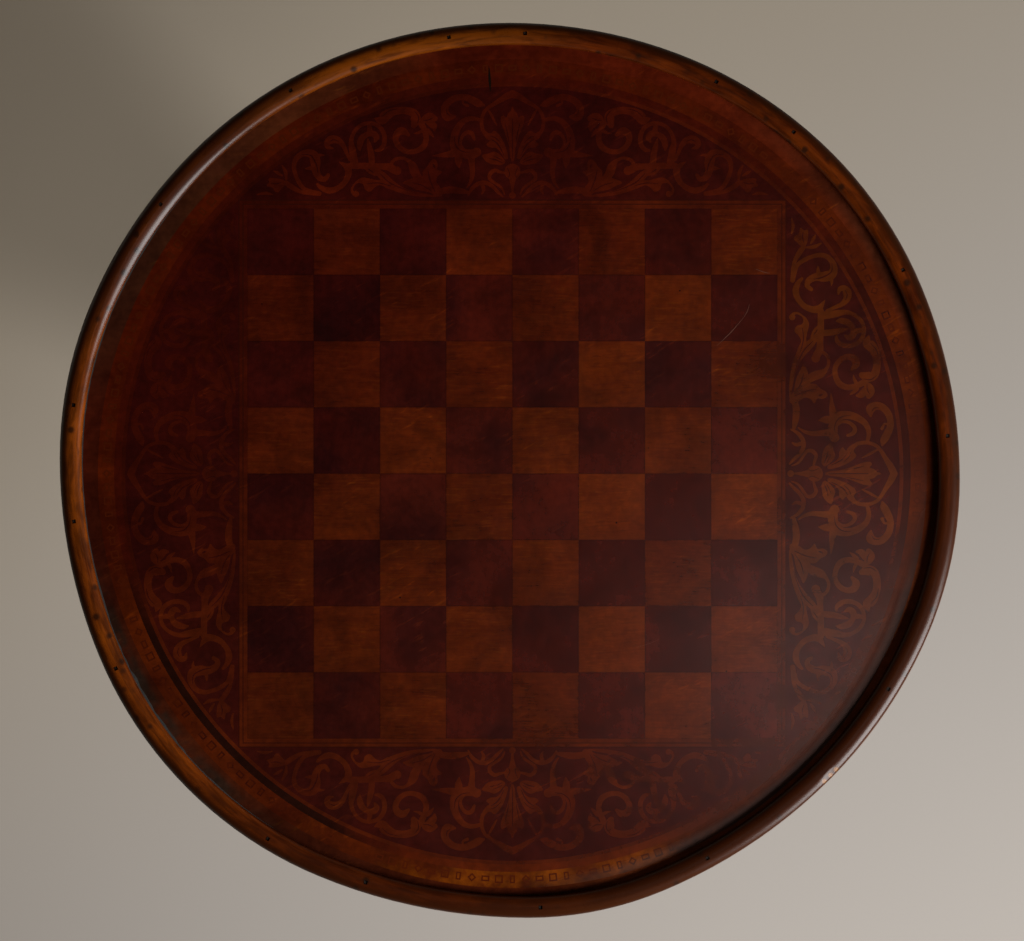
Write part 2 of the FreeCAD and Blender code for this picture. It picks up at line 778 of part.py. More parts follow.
def make_pillar():
    """The pillar, with a flat and a dovetail socket for each leg and a kerf in the tenon for the wedge."""
    pillar = turned(pillar_outline(), pillar_sides)
    for direction in leg_directions.values():
        beside = box(Vector(drum_flat, -drum_radius, drum_base_z - 1),
                     Vector(drum_radius + 1, drum_radius, leg_shoulder_z + flat_headroom))
        pillar = pillar.cut(spin(beside, direction))
        pillar = pillar.cut(spin(dovetail(joint_clearance, 1.0), direction))
    pillar = pillar.cut(wedge_solid(joint_clearance))
    pillar = pillar.cut(plate_screw_solid(Vector(0, 0, drum_base_z - plate_thickness), screw_clearance))
    return pillar.Solids


def dovetail(clearance, below):
    """Dovetail tenon on a leg's shoulder, or with a clearance its socket, which opens at the bottom."""
    neck = dovetail_neck / 2 + clearance
    wide = dovetail_width / 2 + clearance
    back = drum_flat - dovetail_depth - clearance
    z = drum_base_z - below
    face = polygon_face((
        Vector(drum_flat + clearance, -neck, z),
        Vector(back, -wide, z),
        Vector(back, wide, z),
        Vector(drum_flat + clearance, neck, z),
    ))
    return face.extrude(Vector(0, 0, drum_height - dovetail_stop + below + clearance))


def wedge_solid(clearance):
    """Wedge driven into the end of the pillar's tenon, or with a clearance the saw kerf that takes it."""
    half_top = wedge_thickness / 2 + clearance
    half_tip = wedge_tip_thickness / 2 + clearance
    tip_z = block_top_z - wedge_reach - clearance
    face = polygon_face([Vector(-2 * tenon_radius, y, z) for y, z in (
        (-half_top, block_top_z),
        (half_top, block_top_z),
        (half_tip, tip_z),
        (-half_tip, tip_z),
    )])
    return face.extrude(Vector(4 * tenon_radius, 0, 0))


def make_wedge():
    tenon = pin(tenon_radius - joint_clearance, Vector(0, 0, block_bottom_z), Vector(0, 0, block_top_z))
    return wedge_solid(0.0).common(tenon).Solids


# ---------------------------------------------------------------- legs
def leg_rings():
    """Closed sections along a leg, each in the plane that holds its top and under edges."""
    run = foot_centre - drum_flat
    numbers = [float(number) for number in range(len(leg_stations))]
    top_line = Part.BSplineCurve()
    top_line.interpolate(
        Points=[Vector(drum_flat + row[0] * run, 0, row[1] * leg_shoulder_z) for row in leg_stations],
        Parameters=numbers,
    )
    under_line = Part.BSplineCurve()
    under_line.interpolate(
        Points=[Vector(drum_flat + row[2] * run, 0, row[3] * drum_base_z) for row in leg_stations],
        Parameters=numbers,
    )
    rings = []
    for step in range(rings_per_station * (len(leg_stations) - 1) + 1):
        along = step / rings_per_station
        row = min(int(along), len(leg_stations) - 2)
        share = along - row
        before, after = leg_stations[row], leg_stations[row + 1]
        width, squareness = [(1 - share) * before[column] + share * after[column] for column in (4, 5)]
        rings.append(leg_ring(top_line.value(along), under_line.value(along), width, squareness))
    return rings


def leg_ring(top, under, width, squareness):
    """Rounded square section: a superellipse between the top and under edges."""
    middle = top.add(under).multiply(0.5)
    upward = top.sub(under).multiply(0.5)
    ring = []
    for number in range(section_points):
        turn = 2 * math.pi * (number + 0.5) / section_points
        bulge = (abs(math.cos(turn)) ** squareness + abs(math.sin(turn)) ** squareness) ** (-1 / squareness)
        sideways = Vector(0, bulge * math.cos(turn) * width / 2, 0)
        ring.append(middle.add(Vector(upward).multiply(bulge * math.sin(turn))).add(sideways))
    return ring


def make_foot():
    """Pad foot on the end of a leg."""
    toe = (foot_radius - foot_undercut, 0)
    brim = (foot_radius - foot_brim, 0.72 * foot_height)
    outline = [toe]
    outline += bow(toe, (foot_radius, 0.4 * foot_height), brim, 3)
    outline += bow(brim, (0.6 * foot_radius, 0.94 * foot_height), (0.1 * foot_radius, foot_height), 3)
    return stand(turned(outline, foot_sides), Vector(foot_centre, 0, 0), UP)


def make_leg(direction):
    leg = skin(leg_rings())
    flat_end = plate_arm_reach + plate_flat_margin
    flat = box(Vector(0, -foot_radius, 0), Vector(flat_end, foot_radius, drum_base_z))
    leg = leg.cut(flat)
    leg = leg.fuse(make_foot()).fuse(dovetail(0.0, 0.0)).removeSplitter()
    for reach in plate_screw_spots:
        place = Vector(reach, 0, drum_base_z - plate_thickness)
        leg = leg.cut(plate_screw_solid(place, screw_clearance))
    return spin(leg, direction).Solids


# ---------------------------------------------------------------- iron plate
def plate_screw_solid(place, clearance):
    """Round-headed screw driven upwards; the place is the underside of the plate."""
    head_face = place.sub(Vector(0, 0, plate_screw_head_height))
    outline = (
        (0.6 * plate_screw_head + clearance, 0),
        (plate_screw_head + clearance, 0.6 * plate_screw_head_height),
        (plate_screw_head + clearance, plate_screw_head_height),
        (plate_screw_shank + clearance, plate_screw_head_height),
        (plate_screw_shank + clearance, plate_screw_head_height + plate_screw_length + clearance),
    )
    return stand(turned(outline, screw_sides), head_face, UP)


def plate_screws(clearance):
    bottom_z = drum_base_z - plate_thickness
    screws = [plate_screw_solid(Vector(0, 0, bottom_z), clearance)]
    for direction in leg_directions.values():
        for reach in plate_screw_spots:
            screws.append(spin(plate_screw_solid(Vector(reach, 0, bottom_z), clearance), direction))
    return screws


def make_plate():
    """Sheet-iron plate: a hub with an arm along the underside of each leg."""
    bottom = Vector(0, 0, drum_base_z - plate_thickness)
    plate = Part.makeCylinder(plate_hub_radius, plate_thickness, bottom)
    half = plate_arm_width / 2
    end = plate_arm_reach - half
    for direction in leg_directions.values():
        bar = box(bottom.add(Vector(0, -half, 0)), bottom.add(Vector(end, half, plate_thickness)))
        tip = Part.makeCylinder(half, plate_thickness, bottom.add(Vector(end, 0, 0)))
        plate = plate.fuse(spin(bar.fuse(tip), direction))
    for hole in plate_screws(screw_clearance):
        plate = plate.cut(hole)
    return plate.removeSplitter().Solids


# ---------------------------------------------------------------- all pieces
os.makedirs("parts", exist_ok=True)
top_chain = edge_chain()

save("pillar", make_pillar())
for leg_name, leg_direction in leg_directions.items():
    save(leg_name, make_leg(leg_direction))
save("tripod_plate", make_plate())
save("tripod_plate_screws", plate_screws(0.0))
save("pivot_block", make_block())
save("tenon_wedge", make_wedge())
save("keeper_plate", make_keeper_plate())
save("keeper_screws", keeper_screw_solids(0.0))

for plank_name, plank in zip(("plank_front", "plank_middle", "plank_rear"), make_planks()):
    save(plank_name, plank)
save("bearer_left", make_bearer(-1))
save("bearer_right", make_bearer(1))
save("bearer_screws", bearer_screw_solids(0.0))
save("rim_moulding", make_rim())
save("rim_brads", make_brads())

save("dark_squares", make_squares(0))
save("light_squares", make_squares(1))
save("border_string_inner", make_mitred_frame(field_half, inner_string_width))
save("border_line_inner", make_mitred_frame(field_half + inner_string_width, line_width))
outer_line_half = border_half - line_width
save("border_string_outer", make_mitred_frame(outer_line_half - outer_string_width, outer_string_width))
save("border_line_outer", make_mitred_frame(outer_line_half, line_width))
for lunette_name, lunette_turn in (("rear", 0), ("left", 90), ("front", 180), ("right", 270)):
    save("lunette_" + lunette_name, make_lunette(lunette_turn))
save("circle_string", make_ring(string_radius, circle_radius))
save("dark_ring", make_ring(dark_ring_radius, string_radius))
save("ornament_band", make_ring(band_radius, dark_ring_radius))
save("outer_field", make_outer_field())

save("catch_case", make_case())
save("catch_case_screws", case_screw_solids(0.0))
save("catch_bolt", make_bolt())
save("catch_knob", make_knob())
save("catch_spring", make_spring())
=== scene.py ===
import math

import bmesh
import bpy
from mathutils import Matrix, Vector, noise
from mathutils.geometry import delaunay_2d_cdt


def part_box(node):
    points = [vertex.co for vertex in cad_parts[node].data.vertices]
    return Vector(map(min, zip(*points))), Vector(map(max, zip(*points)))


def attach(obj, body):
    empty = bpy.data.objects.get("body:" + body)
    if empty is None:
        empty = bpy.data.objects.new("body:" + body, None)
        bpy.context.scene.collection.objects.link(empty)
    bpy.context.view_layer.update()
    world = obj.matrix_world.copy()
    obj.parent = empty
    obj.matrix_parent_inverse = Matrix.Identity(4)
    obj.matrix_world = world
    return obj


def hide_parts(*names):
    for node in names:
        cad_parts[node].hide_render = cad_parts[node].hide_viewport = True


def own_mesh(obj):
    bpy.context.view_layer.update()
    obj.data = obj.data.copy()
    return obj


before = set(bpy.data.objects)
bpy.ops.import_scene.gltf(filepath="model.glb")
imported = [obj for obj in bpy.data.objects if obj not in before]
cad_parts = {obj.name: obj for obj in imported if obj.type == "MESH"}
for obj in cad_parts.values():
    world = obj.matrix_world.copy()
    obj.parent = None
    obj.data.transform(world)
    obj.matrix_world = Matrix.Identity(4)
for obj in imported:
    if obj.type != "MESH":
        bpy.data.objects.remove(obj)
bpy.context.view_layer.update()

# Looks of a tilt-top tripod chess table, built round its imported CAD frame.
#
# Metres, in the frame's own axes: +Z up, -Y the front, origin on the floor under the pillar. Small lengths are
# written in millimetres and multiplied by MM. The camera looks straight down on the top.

MM = 0.001

# ---------------------------------------------------------------- places taken from the frame
squares_low, squares_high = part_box("dark_squares")
border_low, border_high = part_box("border_line_outer")
string_low, string_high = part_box("circle_string")
plate_low, plate_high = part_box("tripod_plate")
case_low, case_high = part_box("catch_case")
knob_low, knob_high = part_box("catch_knob")
keeper_low, keeper_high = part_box("keeper_plate")

surface_z = squares_high.z
veneer_low_z = squares_low.z
crown_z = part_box("rim_moulding")[1].z
middle = Vector(((border_low.x + border_high.x) / 2, (border_low.y + border_high.y) / 2))
square_side = (squares_high.x - squares_low.x) / 8
border_half = (border_high.x - border_low.x) / 2
circle_radius = border_half * math.sqrt(2)
string_radius = (string_high.x - string_low.x) / 2
dark_ring_radius = string_radius + 5.0 * MM
band_radius = dark_ring_radius + 11.0 * MM
field_width = 8.5 * MM
rim_width = 14.3 * MM
rim_setback = 1.0 * MM
rim_crown_rise = 4.2 * MM
BEAD_SQUARENESS = 2.1  # 2 is an ellipse
edge_radius = band_radius + field_width + rim_width + rim_setback

# The top has moved out of round: order, amount in mm and direction in degrees.
EDGE_SWELLS = ((2, 1.5, -51), (3, 0.4, -51), (4, 0.4, 169), (5, 0.5, 27), (6, 1.2, 94), (7, 0.5, -167))
EDGE_ARCS = 16
BRAD_ANGLES = (4.5, 27, 50, 62, 88, 98, 120, 142.7, 171.5, 186.7, 206.7, 236.7, 250.7, 274, 297, 330)
LEG_DIRECTIONS = {"leg_front": -90, "leg_back_right": 30, "leg_back_left": 150}
ROUND_STEPS = 256
LUNETTE_STEPS = 64
LIFT = 0.02 * MM  # separates a veneer's face from one that it overlaps
SQUARE = ((-1, -1), (1, -1), (1, 1), (-1, 1))
SHARP_ANGLE = math.radians(38)
# The chip in the bead: its direction, where it is deepest, and its reach across the bead.
CHIP_DEGREES, CHIP_INSET, CHIP_REACH = 315.3, 2.6 * MM, 2.4 * MM
BACKDROP = (0.36, 0.33, 0.29)


# ---------------------------------------------------------------- meshes
def new_object(name, data):
    made = bpy.data.objects.new(name, data)
    bpy.context.scene.collection.objects.link(made)
    return made


def new_mesh(name, bm):
    mesh = bpy.data.meshes.new(name)
    bm.to_mesh(mesh)
    bm.free()
    return mesh


def add_piece(name, bm, body, material, smooth=True, replaced=()):
    """Object from a bmesh, riding on a body and finished in a material."""
    bmesh.ops.recalc_face_normals(bm, faces=bm.faces)
    mesh = new_mesh(name, bm)
    if smooth:
        mesh.polygons.foreach_set("use_smooth", [True] * len(mesh.polygons))
        mesh.set_sharp_from_angle(angle=SHARP_ANGLE)
    mesh.materials.append(material)
    piece = new_object(name, mesh)
    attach(piece, body)
    if replaced:
        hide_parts(*replaced)
    return piece


def bow(start, middle_point, end, steps):
    """Corners along the circular arc through three (radius, height) points, without the first."""
    (ax, ay), (bx, by), (cx, cy) = start, middle_point, end
    d = 2 * (ax * (by - cy) + bx * (cy - ay) + cx * (ay - by))
    a2, b2, c2 = ax * ax + ay * ay, bx * bx + by * by, cx * cx + cy * cy
    ox = (a2 * (by - cy) + b2 * (cy - ay) + c2 * (ay - by)) / d
    oy = (a2 * (cx - bx) + b2 * (ax - cx) + c2 * (bx - ax)) / d
    radius = math.hypot(ax - ox, ay - oy)
    first = math.atan2(ay - oy, ax - ox)
    through = (math.atan2(by - oy, bx - ox) - first) % math.tau
    sweep = (math.atan2(cy - oy, cx - ox) - first) % math.tau
    if through > sweep:
        sweep -= math.tau
    angles = [first + sweep * step / steps for step in range(1, steps + 1)]
    return [(ox + radius * math.cos(angle), oy + radius * math.sin(angle)) for angle in angles]


def skin_rings(bm, rings, closed=False):
    """Quads between rings of as many points each; an open run of rings gets a cap at either end."""
    corners = [[bm.verts.new(point) for point in ring] for ring in rings]
    pairs = list(zip(corners, corners[1:]))
    if closed:
        pairs.append((corners[-1], corners[0]))
    for lower, upper in pairs:
        for number in range(len(lower)):
            following = (number + 1) % len(lower)
            bm.faces.new((lower[number], lower[following], upper[following], upper[number]))
    if not closed:
        bm.faces.new(corners[0])
        bm.faces.new(corners[-1])


def skinned(*runs, closed=False):
    """A new bmesh of one or more runs of rings."""
    bm = bmesh.new()
    for rings in runs:
        skin_rings(bm, rings, closed)
    return bm


def turned_rings(outline, sides, place=Vector(), direction=Vector((0, 0, 1))):
    """Rings of a turned piece from its (radius, height) corners, stood at a place in a direction."""
    turn = Vector((0, 0, 1)).rotation_difference(direction)
    rings = []
    for radius, z in outline:
        angles = [math.tau * (side + 0.5) / sides for side in range(sides)]
        ring = [Vector((radius * math.cos(a), radius * math.sin(a), z)) for a in angles]
        rings.append([place + turn @ point for point in ring])
    return rings


def prism(bm, outline, low, high):
    """Upright prism over a flat outline of (x, y) points."""
    skin_rings(bm, [[Vector((x, y, z)) for x, y in outline] for z in (low, high)])


def cut_with(piece, cutters):
    """Cut a bmesh of closed tools out of a piece for good."""
    tool = new_object("tool", new_mesh("tool", cutters))
    modifier = piece.modifiers.new("cut", "BOOLEAN")
    modifier.object = tool
    modifier.operation = "DIFFERENCE"
    modifier.solver = "EXACT"
    bpy.context.view_layer.update()
    result = bpy.data.meshes.new_from_object(piece.evaluated_get(bpy.context.evaluated_depsgraph_get()))
    piece.modifiers.clear()
    piece.data = result
    bpy.data.objects.remove(tool)
    result.set_sharp_from_angle(angle=SHARP_ANGLE)


# ---------------------------------------------------------------- outline of the top
def edge_chain():
    """Tangent arcs of equal sweep as (centre, radius), centred on the pillar as the frame's board is."""
    sweep = math.tau / EDGE_ARCS
    chain = []
    centre = Vector((0, 0))
    for number in range(EDGE_ARCS):
        start = number * sweep
        radius = edge_radius
        for order, amount, direction in EDGE_SWELLS:
            turn = order * (start + sweep / 2) + math.radians(direction)
            radius += amount * MM * (1 - order ** 2) * math.cos(turn)
        if chain:
            centre = centre + Vector((math.cos(start), math.sin(start))) * (chain[-1][1] - radius)
        chain.append((centre, radius))
    quarter = EDGE_ARCS // 4
    right, rear, left, front = (chain[quarter * number] for number in range(4))
    shift = Vector((
        (right[0].x + right[1] + left[0].x - left[1]) / 2,
        (rear[0].y + rear[1] + front[0].y - front[1]) / 2,
    ))
    return [(centre - shift, radius) for centre, radius in chain]


TOP_CHAIN = edge_chain()


def edge_point(turn, inset):
    """Point of the outline where its outward normal points along the turn."""
    sweep = math.tau / EDGE_ARCS
    centre, radius = TOP_CHAIN[int(turn % math.tau / sweep) % EDGE_ARCS]
    return centre + Vector((math.cos(turn), math.sin(turn))) * (radius - inset)


def spread(degrees, centre, width):
    """1 at a direction, falling to 0 a width away."""
    off = abs((degrees - centre + 180) % 360 - 180)
    return max(0.0, 1 - off / width) ** 2 * (1 + 2 * min(1.0, off / width))


def lathe_noise(turn, scale, seed):
    """Smooth noise that closes on itself round the top."""
    return noise.noise(Vector((scale * math.cos(turn), scale * math.sin(turn), seed)))


# ---------------------------------------------------------------- materials
class Wires:
    """Short ways to add nodes to a tree and link them."""

    def __init__(self, tree):
        self.nodes, self.links = tree.nodes, tree.links

    def node(self, kind, inputs=None, **settings):
        made = self.nodes.new(kind)
        for setting, value in settings.items():
            setattr(made, setting, value)
        for key, value in (inputs or {}).items():
            self.feed(made.inputs[key], value)
        return made

    def feed(self, socket, value):
        if isinstance(value, bpy.types.NodeSocket):
            self.links.new(value, socket)
        else:
            socket.default_value = value

    def math(self, operation, *values, clamp=False):
        numbered = dict(enumerate(values))
        return self.node("ShaderNodeMath", numbered, operation=operation, use_clamp=clamp).outputs[0]

    def times(self, first, second):
        return self.math("MULTIPLY", first, second)

    def most(self, most, *others):
        for other in others:
            most = self.math("MAXIMUM", most, other)
        return most

    def vector(self, operation, *values):
        made = self.node("ShaderNodeVectorMath", dict(enumerate(values)), operation=operation).outputs
        return made["Value" if operation in ("LENGTH", "DISTANCE", "DOT_PRODUCT") else "Vector"]

    def join(self, x, y, z=0.0):
        return self.node("ShaderNodeCombineXYZ", {"X": x, "Y": y, "Z": z}).outputs[0]

    def split(self, vector):
        return self.node("ShaderNodeSeparateXYZ", {"Vector": vector}).outputs

    def span(self, value, low, high, to_low=0.0, to_high=1.0):
        inputs = {"Value": value, "From Min": low, "From Max": high, "To Min": to_low, "To Max": to_high}
        return self.node("ShaderNodeMapRange", inputs, interpolation_type="SMOOTHSTEP").outputs[0]

    def mix(self, share, first, second, blend="MIX"):
        made = self.node("ShaderNodeMix", data_type="RGBA", blend_type=blend)
        self.feed(made.inputs["Factor"], share)
        self.feed(made.inputs["A"], tone(first))
        self.feed(made.inputs["B"], tone(second))
        return made.outputs["Result"]


class Finish(Wires):
    """A material and ways to change it from place to place. Positions are in the frame, in metres."""

    def __init__(self, name, **constants):
        self.material = bpy.data.materials.new(name)
        self.material.use_nodes = True
        super().__init__(self.material.node_tree)
        self.shader = self.nodes["Principled BSDF"]
        for socket, value in constants.items():
            self.shader.inputs[socket.replace("_", " ")].default_value = value
        self.place = self.node("ShaderNodeTexCoord").outputs["Object"]
        self.dulled = 0.0

    def stretch(self, scale, turn=(0.0, 0.0, 0.0), place=None):
        inputs = {"Vector": place or self.place, "Rotation": turn}
        turned = self.node("ShaderNodeMapping", inputs, vector_type="POINT").outputs[0]
        return self.node("ShaderNodeMapping", {"Vector": turned, "Scale": scale}).outputs[0]

    def noise(self, scale, detail=3.0, rough=0.55, warp=0.0, place=None):
        inputs = {"Scale": scale, "Detail": detail, "Roughness": rough, "Distortion": warp}
        return self.node("ShaderNodeTexNoise", {"Vector": place or self.place, **inputs}).outputs["Fac"]

    def specks(self, scale, small, large, share, first, last):
        """Round spots that fade out between two sizes, in the cells whose draw passes the last share."""
        cell = self.node("ShaderNodeTexVoronoi", {"Vector": self.place, "Scale": scale}).outputs
        drawn = self.span(self.split(cell["Color"])[0], first, last)
        return self.times(self.span(cell["Distance"], small, large, share, 0.0), drawn)

    def from_middle(self):
        """Distance from the inlay's middle and the direction away from it, both flat."""
        x, y, _ = self.split(self.place)
        flat = self.join(self.math("SUBTRACT", x, middle.x), self.math("SUBTRACT", y, middle.y))
        return self.vector("LENGTH", flat), self.vector("NORMALIZE", flat)

    def round_the_top(self):
        """Place whose X and Y change slowly round the top and whose Z changes across the rim."""
        radius, ahead = self.from_middle()
        dx, dy, _ = self.split(ahead)
        depth = self.math("MULTIPLY_ADD", self.split(self.place)[2], 0.6, radius)
        return self.join(self.times(dx, edge_radius), self.times(dy, edge_radius), depth)

    def near(self, place, low, high):
        """1 at a place, falling to 0 between two distances from it."""
        return self.span(self.vector("DISTANCE", self.place, place), low, high, 1.0, 0.0)

    def toward(self, degrees, low, high, share=1.0):
        """0 on one side of the top, and the share on the side that lies towards the degrees."""
        x, y, _ = self.split(self.place)
        turn = math.radians(degrees)
        across = self.math("MULTIPLY_ADD", x, math.cos(turn), self.times(y, math.sin(turn)))
        return self.span(across, low, high, 0.0, share)

    def tint(self, colour, factors, share=1.0):
        return self.mix(share, colour, factors, "MULTIPLY")

    def patches(self, colour, *rows):
        """The colour changed into others towards some sides: degrees, first, last, share and colour of each."""
        for *side, other in rows:
            colour = self.mix(self.toward(*side), colour, other)
        return colour

    def bump(self, height, distance, strength):
        made = self.node("ShaderNodeBump", {"Height": height, "Distance": distance, "Strength": strength})
        self.feed(self.shader.inputs["Normal"], made.outputs[0])

    def done(self, colour, rough):
        self.feed(self.shader.inputs["Base Color"], colour)
        self.feed(self.shader.inputs["Roughness"], rough)
        return self.material


def tone(value):
    """A socket as it is, or three numbers with full opacity."""
    return value if isinstance(value, bpy.types.NodeSocket) else (*value, 1.0)


def board_squares(finish):
    """Of each of the board's squares: a shifted and turned place for its grain, its tone, and its darker joint."""
    x, y, _ = finish.split(finish.place)
    column = finish.math("DIVIDE", finish.math("SUBTRACT", x, squares_low.x), square_side)
    row = finish.math("DIVIDE", finish.math("SUBTRACT", y, squares_low.y), square_side)
    cell = finish.join(finish.math("FLOOR", column), finish.math("FLOOR", row))
    draw = finish.node("ShaderNodeTexWhiteNoise", {"Vector": cell}, noise_dimensions="3D").outputs
    shift = finish.vector("ADD", finish.place, draw["Color"])
    lean = finish.math("MULTIPLY_ADD", finish.split(draw["Color"])[1], 0.24, -0.12)
    spin = finish.node("ShaderNodeVectorRotate", {"Vector": shift, "Angle": lean}, rotation_type="Z_AXIS")
    sides = [finish.math("PINGPONG", value, 0.5) for value in (column, row)]
    joint = finish.span(finish.math("MINIMUM", *sides), 0.0, 0.02, 0.38, 0.0)
    return spin.outputs[0], draw["Value"], joint


def wood(name, dark, light, turn=(0.0, 0.0, 0.0), polish=0.3, grain=1.0, squares=0.0, mottle=0.3, coat=0.25,
         weather=None, bent=False, aged=False, specular=0.5):
    """Mahogany: fibre, figure, pores and mottle along the turned X axis, under a rubbed polish.

    With squares, each square of the board gets its own tone, grain shift and darker joint. The weather, if given,
    changes the colour from place to place. Bent wood has its grain round the top; aged wood lies under old polish.
    """
    finish = Finish(name, Coat_Weight=coat, Coat_Roughness=0.22, IOR=1.45, Specular_IOR_Level=specular)
    place = finish.round_the_top() if bent else finish.place
    if squares:
        place, shade, joint = board_squares(finish)

    def layer(along, across, deep, *settings):
        scale = (along, along, across) if bent else (along, across, deep)
        return finish.noise(1.0, *settings, place=finish.stretch(scale, turn, place))

    fibre = layer(26, 900, 420, 4.0, 0.62)
    parts = [
        (fibre, 0.9 * grain), (layer(9, 110, 60, 3.0, 0.55, 1.6), 1.1 * grain),
        (layer(20, 52, 30, 2.0, 0.5, 2.4), 0.9 * grain), (finish.noise(17.0, 3.0, 0.5, 0.6), 2.2 * mottle),
    ]
    if squares:
        parts.append((shade, squares))
    streak = 0.5
    for part, weight in parts:
        streak = finish.math("MULTIPLY_ADD", finish.math("SUBTRACT", part, 0.5), weight, streak)
    streak = finish.most(finish.math("MINIMUM", streak, 1.0), 0.0)
    pore = finish.span(layer(110, 2600, 1400, 1.0, 0.5), 0.66, 0.74, 0.0, 0.35 * grain)
    colour = finish.mix(pore, finish.mix(streak, dark, light), [0.35 * part for part in dark])
    if squares:
        colour = finish.mix(joint, colour, [0.4 * part for part in dark])
    if weather:
        colour = weather(finish, colour)
    if aged:
        colour = under_old_polish(finish, colour)
    haze = finish.noise(38.0, 4.0, 0.6)
    rough = finish.math("ADD", finish.math("MULTIPLY_ADD", haze, 0.10, polish - 0.05), finish.dulled)
    finish.bump(finish.math("ADD", finish.times(fibre, 0.7), haze), 0.08 * MM, 0.6 if bent else 0.25)
    return finish.done(colour, rough)


